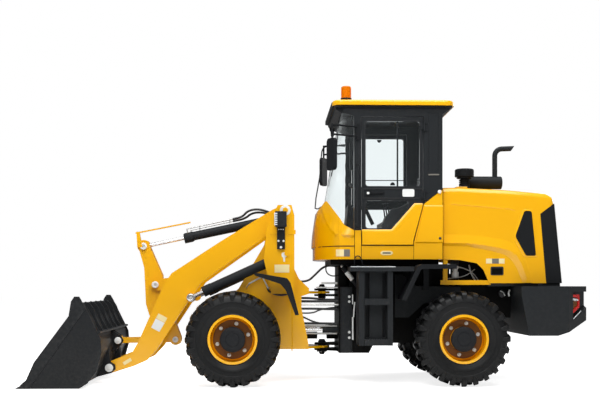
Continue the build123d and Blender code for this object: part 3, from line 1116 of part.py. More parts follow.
# Doors, hinged at their rear edge.
DOOR_Y = CAB_HALF_WIDTH - 22
DOOR_THICKNESS = 40
DOOR_OUTLINE = (
    (DOOR_FRONT_X + PANEL_GAP, DOOR_SILL_Z + PANEL_GAP),
    (1175 - PANEL_GAP, DOOR_SILL_Z + PANEL_GAP),
    (1175 - PANEL_GAP, 1613),
    (DOOR_REAR_X - PANEL_GAP, 2020),
    (DOOR_REAR_X - PANEL_GAP, DOOR_TOP_Z),
    (DOOR_FRONT_X + PANEL_GAP, DOOR_TOP_Z),
)
UPPER_LIGHT = ((636, 2223), (1240, 2223), (1240, 2945), (636, 2945))
LOWER_LIGHT = ((636, 1752), (929, 1752), (1115, 1975), (1115, 2060), (636, 2060))
for side, side_name in zip(SIDES, ("left", "right")):
    with BuildPart() as door:
        side_plate(DOOR_OUTLINE, side * DOOR_Y, DOOR_THICKNESS)
        side_plate(UPPER_LIGHT, side * DOOR_Y, DOOR_THICKNESS + 10, radius=30, mode=Mode.SUBTRACT)
        side_plate(LOWER_LIGHT, side * DOOR_Y, DOOR_THICKNESS + 10, radius=30, mode=Mode.SUBTRACT)
        for hinge_z in DOOR_HINGES_Z:
            upright(DOOR_HINGE[0], side * DOOR_HINGE[1], KNUCKLE_RADIUS, hinge_z, hinge_z + KNUCKLE_HEIGHT)
            block((DOOR_HINGE[0] - 50, DOOR_REAR_X - 1),
                  (side * (DOOR_Y + DOOR_THICKNESS / 2 - 2), side * (DOOR_HINGE[1] - 4)),
                  (hinge_z, hinge_z + KNUCKLE_HEIGHT))
            block((DOOR_HINGE[0] - 40, DOOR_HINGE[0]),
                  (side * (CAB_HALF_WIDTH + 2), side * (DOOR_HINGE[1] - 1)),
                  (hinge_z, hinge_z + KNUCKLE_HEIGHT))
            upright(DOOR_HINGE[0], side * DOOR_HINGE[1], DOOR_PIN_RADIUS + PIN_PLAY, hinge_z - 5,
                    hinge_z + KNUCKLE_HEIGHT + 5, mode=Mode.SUBTRACT)
    save(door, f"door_{side_name}")
    with BuildPart() as door_glass:
        for light in (UPPER_LIGHT, LOWER_LIGHT):
            with BuildSketch(Plane.XZ.offset(-side * (DOOR_Y + 6))) as pane:
                with BuildLine():
                    FilletPolyline(*light, radius=30, close=True)
                make_face()
                offset(amount=-SEAT_GAP)
            extrude(pane.sketch, amount=GLASS / 2, both=True)
    save(door_glass, f"door_glass_{side_name}")

# ---------------------------------------------------------------- inside the cab
CAB_DECK_Z = CAB_FLOOR_Z + 40
with BuildPart() as seat:
    block((900, 1350), (-230, 230), (CAB_DECK_Z, CAB_DECK_Z + 260))
    block((860, 1380), (-250, 250), (CAB_DECK_Z + 260, CAB_DECK_Z + 400))
    side_plate(((1300, CAB_DECK_Z + 380), (1395, CAB_DECK_Z + 380), (1440, CAB_DECK_Z + 950),
                (1350, CAB_DECK_Z + 950)), 0, 460)
save(seat, "seat")

with BuildPart() as steering_console:
    side_plate(((420, CAB_DECK_Z), (620, CAB_DECK_Z), (600, CAB_DECK_Z + 560), (480, CAB_DECK_Z + 600)), 0,
               360)
    rod((560, 0, CAB_DECK_Z + 540), (680, 0, CAB_DECK_Z + 780), 24)
    with Locations(Plane(origin=(680, 0, CAB_DECK_Z + 780), z_dir=(0.45, 0, 0.9))):
        Torus(190, 14)
        Box(370, 30, 14)
        Cylinder(45, 26)
save(steering_console, "steering_console")

# ---------------------------------------------------------------- outside fittings
with BuildPart() as beacon:
    beacon_z = CAB_TOP_Z + SEAT_GAP + ROOF_HEIGHT + SEAT_GAP
    upright(426, -560, 60, beacon_z, beacon_z + 47)
    upright(426, -560, 55, beacon_z + 47, beacon_z + 174)
    fillet(beacon.edges().group_by(Axis.Z)[-1], 14)
save(beacon, "beacon")

MIRROR_Y = 850
MIRROR_X = 250
MIRROR_TURN = 0.45
POST_FACE = CAB_HALF_WIDTH + SEAT_GAP
with BuildPart() as mirrors:
    for side in SIDES:
        block((525, 565), (side * POST_FACE, side * (POST_FACE + 22)), (2740, 2910))
        for arm_z in (2775, 2880):
            rod((545, side * (POST_FACE + 11), arm_z), (MIRROR_X, side * MIRROR_Y, arm_z), 11)
        upright(MIRROR_X, side * MIRROR_Y, 11, 2400, 2890)
        # The head is turned a little, so that its glass looks back and inwards.
        across = (-MIRROR_TURN, -side, 0)
        glass_way = (1, -side * MIRROR_TURN, 0)
        with BuildSketch(Plane(origin=(MIRROR_X - 4, side * MIRROR_Y, 2554), x_dir=across,
                               z_dir=glass_way)) as head:
            RectangleRounded(178, 352, 45)
        extrude(head.sketch, amount=19, both=True)
save(mirrors, "mirrors")

STEP_BOX_X = (539, 911)
with BuildPart() as access_steps:
    for side in SIDES:
        block(STEP_BOX_X, (side * 560, side * 830), (455, 1268))
        block((441, 1140), (side * 560, side * 950), (1268, 1318))
        for step_z in (457, 900):
            block((600, 872), (side * 820, side * 940), (step_z, step_z + 68))
        for rail_x in (539, 851):
            block((rail_x, rail_x + 60), (side * 820, side * 920), (455, 1268))
        # Upright grooves beside the panel behind the steps.
        for groove_x in (620, 806):
            block((groove_x, groove_x + 42), (side * 770, side * 840), (540, 1250), mode=Mode.SUBTRACT)
save(access_steps, "access_steps")

with BuildPart() as rear_fenders:
    for side in SIDES:
        fender(REAR_FENDER, REAR_SKIRT_INNER, side)
        block((1290, 1350), (side * (REAR_PLATE_Y + REAR_PLATE / 2 + SEAT_GAP), side * 640), (1060, 1100))
        block((1290, 1350), (side * 592, side * 640), (1060, 1330))
save(rear_fenders, "rear_fenders")
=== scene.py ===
"""Looks of an articulated wheel loader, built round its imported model.

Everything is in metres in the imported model's own frame: the bucket points
along -X, the driver's left side is -Y and +Z is up.
"""

from __future__ import annotations

import json
import logging
import math
from dataclasses import dataclass
from enum import Enum
from typing import Iterable, Sequence

import bmesh
import bpy
from mathutils import Matrix, Vector

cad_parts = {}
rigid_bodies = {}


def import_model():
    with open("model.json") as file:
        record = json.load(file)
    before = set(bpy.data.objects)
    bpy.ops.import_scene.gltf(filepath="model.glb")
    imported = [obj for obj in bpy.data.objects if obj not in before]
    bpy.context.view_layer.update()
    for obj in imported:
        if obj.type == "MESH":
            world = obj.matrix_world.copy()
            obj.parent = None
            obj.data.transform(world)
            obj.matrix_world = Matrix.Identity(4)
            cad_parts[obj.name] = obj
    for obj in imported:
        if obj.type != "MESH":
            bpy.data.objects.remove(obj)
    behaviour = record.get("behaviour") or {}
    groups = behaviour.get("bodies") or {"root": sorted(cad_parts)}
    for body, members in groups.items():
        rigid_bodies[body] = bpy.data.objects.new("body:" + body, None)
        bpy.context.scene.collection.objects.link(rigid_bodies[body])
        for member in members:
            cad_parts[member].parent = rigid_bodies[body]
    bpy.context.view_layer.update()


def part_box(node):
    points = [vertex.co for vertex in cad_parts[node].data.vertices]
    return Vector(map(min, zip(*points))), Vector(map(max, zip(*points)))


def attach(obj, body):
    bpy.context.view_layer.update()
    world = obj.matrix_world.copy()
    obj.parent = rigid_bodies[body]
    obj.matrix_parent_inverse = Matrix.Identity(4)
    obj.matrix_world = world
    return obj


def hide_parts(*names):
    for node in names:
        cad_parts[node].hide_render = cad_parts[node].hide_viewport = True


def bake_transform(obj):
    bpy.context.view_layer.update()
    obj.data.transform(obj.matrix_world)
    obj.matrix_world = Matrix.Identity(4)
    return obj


LOG = logging.getLogger("loader")
SIDES = ((-1, "left"), (1, "right"))
Point = Sequence[float]
Outline = Sequence[Sequence[float]]


# ------------------------------------------------------------------ shader groups
class Net:
    """Adds nodes to a tree and links them."""

    def __init__(self, tree: bpy.types.NodeTree) -> None:
        """Keeps the tree that the nodes go into.

        Args:
            tree: the node tree.
        """
        self.tree = tree

    def add(self, kind: str, links: dict | None = None, **settings: object) -> bpy.types.Node:
        """Makes a node.

        Args:
            kind: Blender's name of the node type.
            links: input name or number to a socket that feeds it, or to a value.
            settings: attributes of the node.

        Returns:
            The new node.
        """
        node = self.tree.nodes.new(kind)
        for key, value in settings.items():
            setattr(node, key, value)
        for key, value in (links or {}).items():
            if isinstance(value, bpy.types.NodeSocket):
                self.tree.links.new(value, node.inputs[key])
            else:
                node.inputs[key].default_value = value
        return node

    def math(self, operation: str, *values: object) -> bpy.types.NodeSocket:
        """One Math node.

        Args:
            operation: the node's operation.
            values: its inputs, sockets or numbers.

        Returns:
            Its result.
        """
        return self.add("ShaderNodeMath", dict(enumerate(values)), operation=operation).outputs[0]

    def blend(self, share: object, first: object, second: object) -> bpy.types.NodeSocket:
        """A colour between two.

        Args:
            share: how much of the second colour is taken.
            first: the colour at share 0.
            second: the colour at share 1.

        Returns:
            The mixed colour.
        """
        node = self.add("ShaderNodeMix", {0: share, 6: first, 7: second}, data_type="RGBA")
        return node.outputs[2]

    def span(self, value: object, low: float, high: float, start: float, end: float) -> bpy.types.NodeSocket:
        """A value moved from one span to another, clamped.

        Args:
            value: the socket that is moved.
            low: the value that becomes start.
            high: the value that becomes end.
            start: the result at low.
            end: the result at high.

        Returns:
            The moved value.
        """
        return self.add("ShaderNodeMapRange", {0: value, 1: low, 2: high, 3: start, 4: end}).outputs[0]


def new_group(name: str, inputs: Sequence[tuple], outputs: Sequence[tuple]) -> tuple[Net, dict,
                                                                                     bpy.types.Node]:
    """Starts a shader node group.

    Args:
        name: the group's name.
        inputs: (name, socket type, start value) of each input.
        outputs: (name, socket type) of each output.

    Returns:
        The net of its tree, its input sockets by name and its output node.
    """
    tree = bpy.data.node_groups.new(name, "ShaderNodeTree")
    for label, kind, start in inputs:
        tree.interface.new_socket(label, in_out="INPUT", socket_type=kind).default_value = start
    for label, kind in outputs:
        tree.interface.new_socket(label, in_out="OUTPUT", socket_type=kind)
    net = Net(tree)
    entry = net.add("NodeGroupInput")
    return net, {s.name: s for s in entry.outputs if s.name}, net.add("NodeGroupOutput")


def coat_group() -> bpy.types.NodeTree:
    """Paint: soft cloudy shade, fine texture, and dust that gathers low down and on level faces.

    Returns:
        The group's tree.
    """
    net, given, out = new_group(
        "paint_coat",
        (("Colour", "NodeSocketColor", (1, 1, 1, 1)), ("Shade", "NodeSocketColor", (0, 0, 0, 1)),
         ("Dust", "NodeSocketColor", (0.33, 0.30, 0.25, 1)), ("Cloud", "NodeSocketFloat", 0.2),
         ("Dust Amount", "NodeSocketFloat", 0.1), ("Texture Scale", "NodeSocketFloat", 220.0),
         ("Roughness", "NodeSocketFloat", 0.3)),
        (("Colour", "NodeSocketColor"), ("Roughness", "NodeSocketFloat"), ("Height", "NodeSocketFloat")))
    place = net.add("ShaderNodeTexCoord").outputs["Object"]
    cloud = net.add("ShaderNodeTexNoise", {"Vector": place, "Scale": 1.7, "Detail": 5.0, "Roughness": 0.55})
    fine = net.add("ShaderNodeTexNoise", {"Vector": place, "Scale": given["Texture Scale"], "Detail": 2.0})
    speck = net.add("ShaderNodeTexNoise", {"Vector": place, "Scale": 34.0, "Detail": 6.0, "Roughness": 0.7})
    low = net.span(net.add("ShaderNodeSeparateXYZ", {0: place}).outputs["Z"], 0.1, 1.3, 1.0, 0.0)
    up = net.add("ShaderNodeSeparateXYZ",
                 {0: net.add("ShaderNodeNewGeometry").outputs["Normal"]}).outputs["Z"]
    level = net.span(up, 0.55, 1.0, 0.0, 0.6)
    spread = net.span(speck.outputs[0], 0.42, 0.72, 0.15, 1.0)
    dusty = net.math("MULTIPLY", net.math("MULTIPLY", net.math("MAXIMUM", low, level), spread),
                     given["Dust Amount"])
    shade = net.math("MULTIPLY", net.span(cloud.outputs[0], 0.35, 0.7, 0.0, 1.0), given["Cloud"])
    base = net.blend(shade, given["Colour"], given["Shade"])
    links = net.tree.links
    links.new(net.blend(dusty, base, given["Dust"]), out.inputs["Colour"])
    rough = net.math("ADD", given["Roughness"],
                     net.math("MULTIPLY", net.math("SUBTRACT", speck.outputs[0], 0.5), 0.14))
    links.new(net.math("ADD", rough, net.math("MULTIPLY", dusty, 0.5)), out.inputs["Roughness"])
    links.new(fine.outputs[0], out.inputs["Height"])
    return net.tree


def edge_group() -> bpy.types.NodeTree:
    """Rub marks and painted glints: a mask along raised edges, broken up by noise.

    Returns:
        The group's tree.
    """
    net, given, out = new_group(
        "rubbed_and_glinting_edges", (("Amount", "NodeSocketFloat", 0.3), ("Scale", "NodeSocketFloat", 22.0)),
        (("Mask", "NodeSocketFloat"),))
    place = net.add("ShaderNodeTexCoord").outputs["Object"]
    noise = net.add("ShaderNodeTexNoise",
                    {"Vector": place, "Scale": given["Scale"], "Detail": 6.0, "Roughness": 0.65})
    point = net.add("ShaderNodeNewGeometry").outputs["Pointiness"]
    edge = net.span(point, 0.52, 0.62, 0.0, 1.0)
    broken = net.span(noise.outputs[0], 0.45, 0.65, 0.0, 1.0)
    net.tree.links.new(net.math("MULTIPLY", net.math("MULTIPLY", edge, broken), given["Amount"]),
                       out.inputs["Mask"])
    return net.tree


# ------------------------------------------------------------------ finishes
@dataclass(frozen=True)
class Finish:
    """One finish: colours are linear, and bump is a tenth of the Bump node's strength."""

    name: str
    slot: str
    colour: tuple[float, float, float]
    shade: tuple[float, float, float] = (0.0, 0.0, 0.0)
    roughness: float = 0.35
    specular: float = 0.25
    metallic: float = 0.0
    coat: float = 0.0
    cloud: float = 0.15
    dust: float = 0.05
    texture_scale: float = 220.0
    bump: float = 0.02
    rub_and_glint: float = 0.0
    rub_and_glint_colour: tuple[float, float, float] = (0.25, 0.24, 0.23)
    transmission: float = 0.0
    emission: float = 0.0
    sheen: float = 0.0

    def make(self, coat: bpy.types.NodeTree, edges: bpy.types.NodeTree) -> bpy.types.Material:
        """Builds the material from the shared groups.

        Args:
            coat: the paint group.
            edges: the group that masks raised edges.

        Returns:
            The new material.
        """
        material = bpy.data.materials.new(self.name)
        material.use_nodes = True
        net = Net(material.node_tree)
        surface = net.tree.nodes["Principled BSDF"]
        surface.inputs["Metallic"].default_value = self.metallic
        surface.inputs["Specular IOR Level"].default_value = self.specular
        surface.inputs["Coat Weight"].default_value = self.coat
        surface.inputs["Coat Roughness"].default_value = 0.14
        surface.inputs["Sheen Weight"].default_value = self.sheen
        if self.transmission > 0:
            self.clear(net, surface)
            return material
        group = net.add("ShaderNodeGroup", node_tree=coat)
        for label, value in (("Colour", (*self.colour, 1)), ("Shade", (*self.shade, 1)),
                             ("Cloud", self.cloud),
                             ("Dust Amount", self.dust), ("Texture Scale", self.texture_scale),
                             ("Roughness", self.roughness)):
            group.inputs[label].default_value = value
        colour = group.outputs["Colour"]
        # Lighter raised edges: rub wear, and on the bucket's ribs and the tyre lugs also painted highlights.
        if self.rub_and_glint > 0:
            mask = net.add("ShaderNodeGroup", {}, node_tree=edges)
            mask.inputs["Amount"].default_value = self.rub_and_glint
            colour = net.blend(mask.outputs["Mask"], colour, (*self.rub_and_glint_colour, 1))
        net.tree.links.new(colour, surface.inputs["Base Color"])
        net.tree.links.new(group.outputs["Roughness"], surface.inputs["Roughness"])
        bump = net.add("ShaderNodeBump",
                       {"Height": group.outputs["Height"], "Strength": self.bump * 10, "Distance": 0.001})
        net.tree.links.new(bump.outputs[0], surface.inputs["Normal"])
        if self.emission > 0:
            net.tree.links.new(colour, surface.inputs["Emission Color"])
            surface.inputs["Emission Strength"].default_value = self.emission
        return material

    def clear(self, net: Net, surface: bpy.types.Node) -> None:
        """Makes the surface a thin clear pane that hardly bends what is seen through it, and that glows
        faintly bluish white: a painted sheen.

        Args:
            net: the material's net.
            surface: its shader.
        """
        surface.inputs["Base Color"].default_value = (*self.colour, 1)
        surface.inputs["Roughness"].default_value = self.roughness
        surface.inputs["Transmission Weight"].default_value = self.transmission
        surface.inputs["IOR"].default_value = 1.1
        # A faint bluish-white glow on the glass: painted sheen.
        surface.inputs["Emission Color"].default_value = (0.86, 0.96, 1.0, 1)
        surface.inputs["Emission Strength"].default_value = self.emission
        streak = net.add("ShaderNodeTexNoise",
                         {"Vector": net.add("ShaderNodeTexCoord").outputs["Object"], "Scale": 3.0})
        bump = net.add("ShaderNodeBump", {"Height": streak.outputs[0], "Strength": 0.02, "Distance": 0.01})
        net.tree.links.new(bump.outputs[0], surface.inputs["Normal"])


class Look(Enum):
    """Every finish on the machine."""

    YELLOW = Finish("yellow_enamel", "yellow_paint", (0.86, 0.430, 0.001), (0.77, 0.350, 0.001), 0.24, 0.16,
                    coat=0.85, cloud=0.25, dust=0.0, bump=0.006)
    # Dark brown enamel, a shaded copy of the yellow; on the wheel discs and the nose seam it is painted
    # shade.
    BROWN_AND_PAINTED_SHADE = Finish("brown_enamel_and_painted_shade", "yellow_paint", (0.135, 0.048, 0.004), (0.10, 0.034, 0.003), 0.45,
                       0.2,
                       cloud=0.3, dust=0.02)
    BLACK = Finish("black_enamel", "black_paint", (0.0195, 0.0215, 0.0235), (0.025, 0.027, 0.029), 0.40, 0.06,
                   coat=0.0,
                   dust=0.03, bump=0.03, rub_and_glint=0.15, rub_and_glint_colour=(0.09, 0.09, 0.09))
    # Light-grey rubbed edges on the bucket: scratches, and painted glints on its rib edges.
    BUCKET = Finish("bucket_enamel", "bucket_paint", (0.0175, 0.0190, 0.0210), (0.024, 0.025, 0.027), 0.34,
                    0.07,
                    coat=0.0, cloud=0.4, dust=0.05, bump=0.04, rub_and_glint=0.5, rub_and_glint_colour=(0.2, 0.2, 0.2))
    CAST = Finish("cast_black", "cast_black", (0.0155, 0.0165, 0.0185), (0.021, 0.021, 0.023), 0.5, 0.06,
                  dust=0.03,
                  texture_scale=90.0, bump=0.08)
    # Near-black; on the seams of the cab and hood it is painted shade for the gaps.
    DEEP = Finish("frame_black_and_gap_shade", "cast_black", (0.0030, 0.0030, 0.0028), (0.006, 0.006, 0.006), 0.45, 0.06,
                  dust=0.01,
                  texture_scale=120.0, bump=0.05)
    # Lighter lug edges on the tyres: scuffs, and painted highlights on the lug shoulders.
    RUBBER = Finish("tyre_rubber", "tyre_rubber", (0.0075, 0.0082, 0.0090), (0.013, 0.013, 0.013), 0.38, 0.16,
                    cloud=0.5,
                    dust=0.02, texture_scale=160.0, bump=0.06, rub_and_glint=0.35, rub_and_glint_colour=(0.075, 0.075, 0.073))
    CHROME = Finish("rod_chrome", "rod_chrome", (0.80, 0.80, 0.80), (0.66, 0.66, 0.68), 0.22, 0.5,
                    metallic=1.0,
                    dust=0.0, bump=0.004)
    ZINC = Finish("zinc_steel", "rod_chrome", (0.62, 0.62, 0.60), (0.42, 0.42, 0.41), 0.4, 0.5, metallic=0.7,
                  dust=0.04,
                  bump=0.02)
    PLASTIC = Finish("black_plastic", "black_plastic", (0.0130, 0.0140, 0.0155), (0.019, 0.019, 0.021), 0.46,
                     0.06,
                     dust=0.02, texture_scale=420.0, bump=0.06)
    # Dark rubber; round the door band and under the hood it also stands for painted shade.
    HOSE_AND_SHADE = Finish("hose_rubber_and_shade", "black_plastic", (0.010, 0.010, 0.011), (0.016, 0.016, 0.016), 0.4, 0.5,
                  dust=0.03,
                  texture_scale=500.0, bump=0.05)
    GLASS = Finish("clear_glass", "window_glass", (0.910, 0.945, 0.948), roughness=0.0, specular=0.3,
                   transmission=1.0, emission=0.007)
    AMBER = Finish("amber_lens", "amber_lens", (0.62, 0.158, 0.001), (0.50, 0.11, 0.001), 0.22, 0.08,
                   coat=0.0, dust=0.0,
                   emission=0.03)
    RED = Finish("red_lens", "red_lens", (0.50, 0.016, 0.014), (0.36, 0.01, 0.01), 0.2, 0.2, coat=0.1,
                 dust=0.0,
                 emission=0.10)
    LENS = Finish("lamp_lens", "window_glass", (0.74, 0.78, 0.80), (0.6, 0.62, 0.64), 0.12, 0.5, coat=0.8,
                  dust=0.0)
    CREAM = Finish("blank_plate", "yellow_paint", (0.84, 0.70, 0.36), (0.80, 0.66, 0.34), 0.4, dust=0.01)
    WHITE = Finish("white_plate", "window_glass", (0.76, 0.77, 0.75), (0.68, 0.69, 0.68), 0.4, dust=0.01)
    GREY = Finish("grey_plate", "window_glass", (0.16, 0.15, 0.13), (0.22, 0.21, 0.19), 0.4, dust=0.01)
    SEAT = Finish("seat_cover", "seat_cover", (0.022, 0.023, 0.026), (0.04, 0.04, 0.044), 0.7, 0.2, dust=0.0,
                  texture_scale=700.0, bump=0.1, sheen=0.3)


MATERIALS: dict[Look, bpy.types.Material] = {}


# ------------------------------------------------------------------ mesh helpers
def to_scene(name: str, mesh: bpy.types.Mesh) -> bpy.types.Object:
    """Makes an object of a mesh, at the origin.

    Args:
        name: the object's name.
        mesh: its mesh, in place.

    Returns:
        The new object.
    """
    made = bpy.data.objects.new(name, mesh)
    bpy.context.scene.collection.objects.link(made)
    return made


def bake(piece: bpy.types.Object) -> bpy.types.Object:
    """Applies a piece's modifiers and leaves a plain mesh.

    Args:
        piece: the object with its modifiers.

    Returns:
        The same object.
    """
    graph = bpy.context.evaluated_depsgraph_get()
    mesh = bpy.data.meshes.new_from_object(piece.evaluated_get(graph))
    piece.modifiers.clear()
    piece.data = mesh
    return piece


def bevelled(piece: bpy.types.Object, width: float, segments: int = 2,
             angle: float = 35.0) -> bpy.types.Object:
    """Rounds the sharp edges of a piece.

    Args:
        piece: the object.
        width: how far the rounding reaches from the edge.
        segments: how many faces make it.
        angle: the turn between faces from which an edge counts as sharp, in degrees.

    Returns:
        The same object.
    """
    modifier = piece.modifiers.new("edges", "BEVEL")
    modifier.width = width
    modifier.segments = segments
    modifier.limit_method = "ANGLE"
    modifier.angle_limit = math.radians(angle)
    modifier.use_clamp_overlap = True
    return bake(piece)


def shade(piece: bpy.types.Object, angle: float = 32.0) -> bpy.types.Object:
    """Smooth faces with crisp edges, and normals that follow the large faces.

    Args:
        piece: the object.
        angle: faces that turn more than this, in degrees, meet in a crisp edge.

    Returns:
        The same object.
    """
    mesh = piece.data
    mesh.polygons.foreach_set("use_smooth", [True] * len(mesh.polygons))
    bm = bmesh.new()
    bm.from_mesh(mesh)
    limit = math.radians(angle)
    for edge in bm.edges:
        edge.smooth = edge.is_manifold and edge.calc_face_angle(0.0) < limit
    bm.to_mesh(mesh)
    bm.free()
    modifier = piece.modifiers.new("large_faces", "WEIGHTED_NORMAL")
    modifier.keep_sharp = True
    modifier.weight = 80
    return bake(piece)


def joined(name: str, parts: Iterable[bpy.types.Object]) -> bpy.types.Object:
    """Joins several pieces into one mesh.

    Args:
        name: the new object's name.
        parts: the objects, which are removed.

    Returns:
        The new object.
    """
    bm = bmesh.new()
    for part in list(parts):
        bm.from_mesh(part.data)
        bpy.data.objects.remove(part)
    mesh = bpy.data.meshes.new(name)
    bm.to_mesh(mesh)
    bm.free()
    return to_scene(name, mesh)


def dress(piece: bpy.types.Object, look: Look, body: str, nodes: Sequence[str] = (),
          smooth: float = 32.0) -> bpy.types.Object:
    """Gives a finished piece its finish and its body.

    Args:
        piece: the mesh object, in place.
        look: its finish.
        body: the body that it moves with, empty for a piece that is attached to no body.
        nodes: the model's nodes that it stands for.
        smooth: the angle up to which faces are shaded as one.

    Returns:
        The same piece.
    """
    shade(piece, smooth)
    piece.data.materials.clear()
    piece.data.materials.append(MATERIALS[look])
    piece.data.polygons.foreach_set("material_index", [0] * len(piece.data.polygons))
    if body:
        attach(piece, body)
    if nodes:
        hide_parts(*nodes)
    LOG.info("%s on %s: %d faces", piece.name, body, len(piece.data.polygons))
    return piece


def rounded(points: Outline, cut: float) -> list[tuple[float, ...]]:
    """Takes the corners off a closed outline, twice.

    Args:
        points: its corners.
        cut: how far from a corner the first cut is made, at most a third of a side.

    Returns:
        The outline with four corners for each old one.
    """
    corners = [Vector(p) for p in points]
    for share in (1.0, 0.35):
        new = []
        for i, corner in enumerate(corners):
            for other in (corners[i - 1], corners[(i + 1) % len(corners)]):
                way = other - corner
                new.append(corner + way.normalized() * min(cut * share, way.length / 3))
        corners = new
    return [tuple(c) for c in corners]


class Shape:
    """A mesh put together in place from simple solids, before it gets its finish."""

    def __init__(self, name: str) -> None:
        """Starts an empty mesh.

        Args:
            name: the piece's name.
        """
        self.name = name
        self.bm = bmesh.new()

    def loft(self, rings: Sequence[Sequence[Point]], closed: bool = False) -> Shape:
        """Adds a skin over rings of as many points each.

        Args:
            rings: the rings, in order.
            closed: whether the last ring joins the first, otherwise both ends are covered.

        Returns:
            This shape.
        """
        made = [[self.bm.verts.new(p) for p in ring] for ring in rings]
        count = len(made[0])
        pairs = list(zip(made, made[1:]))
        if closed:
            pairs.append((made[-1], made[0]))
        for first, second in pairs:
            for i in range(count):
                j = (i + 1) % count
                self.bm.faces.new((first[i], first[j], second[j], second[i]))
        if not closed:
            self.bm.faces.new(list(reversed(made[0])))
            self.bm.faces.new(made[-1])
        return self

    def slab(self, back: Outline, front: Outline, start: float, end: float, axis: str = "Y") -> Shape:
        """Adds a solid between two outlines of as many corners.

        Args:
            back: the outline at start, (x, z) for axis Y, (x, y) for axis Z and (y, z) for axis X.
            front: the outline at end.
            start: where it starts along the axis.
            end: where it ends.
            axis: the axis that it is drawn out along.

        Returns:
            This shape.
        """
        place = {"Y": lambda p, level: (p[0], level, p[1]), "Z": lambda p, level: (p[0], p[1], level),
                 "X": lambda p, level: (level, p[0], p[1])}[axis]
        return self.loft([[place(p, level) for p in ring] for ring, level in ((back, start), (front, end))])

    def prism(self, outline: Outline, start: float, end: float, axis: str = "Y") -> Shape:
        """Adds a straight prism; the arguments are those of slab.

        Args:
            outline: its corners.
            start: where it starts along the axis.
            end: where it ends.
            axis: the axis that it is drawn out along.

        Returns:
            This shape.
        """
        return self.slab(outline, outline, start, end, axis)

    def box(self, low: Point, high: Point) -> Shape:
        """Adds an upright box.

        Args:
            low: its lowest corner.
            high: its highest corner.

        Returns:
            This shape.
        """
        corners = ((low[0], low[1]), (high[0], low[1]), (high[0], high[1]), (low[0], high[1]))
        return self.prism(corners, low[2], high[2], "Z")

    def turned(self, centre: Point, axis: Point, profile: Outline, steps: int = 32,
               closed: bool = False) -> Shape:
        """Adds a turned shape.

        Args:
            centre: the point on the axis that distances are counted from.
            axis: the direction of the turning axis.
            profile: (distance along the axis, radius) from one end to the other.
            steps: how many faces go round.
            closed: whether the profile runs back to its start, as a ring's does.

        Returns:
            This shape.
        """
        turn = Vector((0, 0, 1)).rotation_difference(Vector(axis).normalized()).to_matrix().to_4x4()
        place = Matrix.Translation(Vector(centre)) @ turn
        rings = []
        for along, radius in profile:
            angles = [2 * math.pi * i / steps for i in range(steps)] if radius > 1e-6 else [0.0]
            rings.append([self.bm.verts.new(place @ Vector((radius * math.cos(a), radius * math.sin(a),
                                                            along)))
                          for a in angles])
        pairs = list(zip(rings, rings[1:])) + ([(rings[-1], rings[0])] if closed else [])
        for first, second in pairs:
            for i in range(steps):
                j = (i + 1) % steps
                corners = [first[i % len(first)], first[j % len(first)], second[j % len(second)],
                           second[i % len(second)]]
                self.bm.faces.new(list(dict.fromkeys(corners)))
        if not closed:
            for ring in (rings[0], rings[-1]):
                if len(ring) > 2:
                    self.bm.faces.new(ring)
        return self

    def bar(self, points: Sequence[Point], radius: float, bends: int = 0, steps: int = 10) -> Shape:
        """Adds a round bar or hose along a line.

        Args:
            points: the corners of its line.
            radius: its radius.
            bends: how often the line's corners are cut, 0 keeps them sharp.
            steps: how many faces go round.

        Returns:
            This shape.
        """
        line = [Vector(p) for p in points]
        for _ in range(bends):
            cut = [line[0]]
            for first, second in zip(line, line[1:]):
                cut += [first.lerp(second, 0.25), first.lerp(second, 0.75)]
            line = [*cut, line[-1]]
        side = Vector((0, 0, 1))
        rings = []
        for i, spot in enumerate(line):
            before = (spot - line[i - 1]).normalized() if i else (line[1] - spot).normalized()
            after = (line[i + 1] - spot).normalized() if i + 1 < len(line) else before
            way = (before + after).normalized()
            if abs(way.dot(side)) > 0.98 and not rings:
                side = Vector((1, 0, 0))
            across = way.cross(side).normalized()
            side = across.cross(way).normalized()
            rings.append([spot + radius * (math.cos(a) * side + math.sin(a) * across)
                          for a in (2 * math.pi * j / steps for j in range(steps))])
        return self.loft(rings)

    def ridge(self, upper: Outline, crest: Outline, foot: Outline, face: float, proud: float) -> Shape:
        """Adds a fold on an upright side, which swells from the upper line to its crest and ends at its foot.

        Args:
            upper: (x, z) where the swelling starts, from one end to the other.
            crest: (x, z) of its crest, with as many points.
            foot: (x, z) where it meets the side again.
            face: y of the side, whose sign says which side it is.
            proud: how far the crest stands out.

        Returns:
            This shape.
        """
        out = math.copysign(1.0, face)
        rings = []
        for a, b, c in zip(upper, crest, foot):
            rings.append([(a[0], face - out * 0.008, a[1]), (a[0], face - out * 0.0004, a[1]),
                          (b[0], face + out * proud, b[1]), (c[0], face - out * 0.0004, c[1]),
                          (c[0], face - out * 0.008, c[1])])
        return self.loft(rings)

    def bolt(self, centre: Point, axis: Point, radius: float, height: float) -> Shape:
        """Adds a six-sided bolt head on a washer.

        Args:
            centre: where it sits on its face.
            axis: the direction it stands out in.
            radius: of the head.
            height: of the head over the face.

        Returns:
            This shape.
        """
        self.turned(centre, axis, ((-0.003, radius * 1.35), (0.0025, radius * 1.35), (0.0035, radius * 1.2)),
                    16)
        return self.turned(centre, axis, ((0.001, radius), (height * 0.8, radius), (height, radius * 0.82)),
                           6)

    def finish(self, look: Look, body: str, bevel: float = 0.0015, nodes: Sequence[str] = (),
               smooth: float = 32.0) -> bpy.types.Object:
        """Closes the mesh, rounds its edges and gives it its finish.

        Args:
            look: its finish.
            body: the body that it moves with.
            bevel: how much its edges are rounded.
            nodes: the model's nodes that it stands for.
            smooth: the angle up to which faces are shaded as one.

        Returns:
            The piece.
        """
        piece = self.to_object()
        if bevel > 0:
            bevelled(piece, bevel)
        return dress(piece, look, body, nodes, smooth)

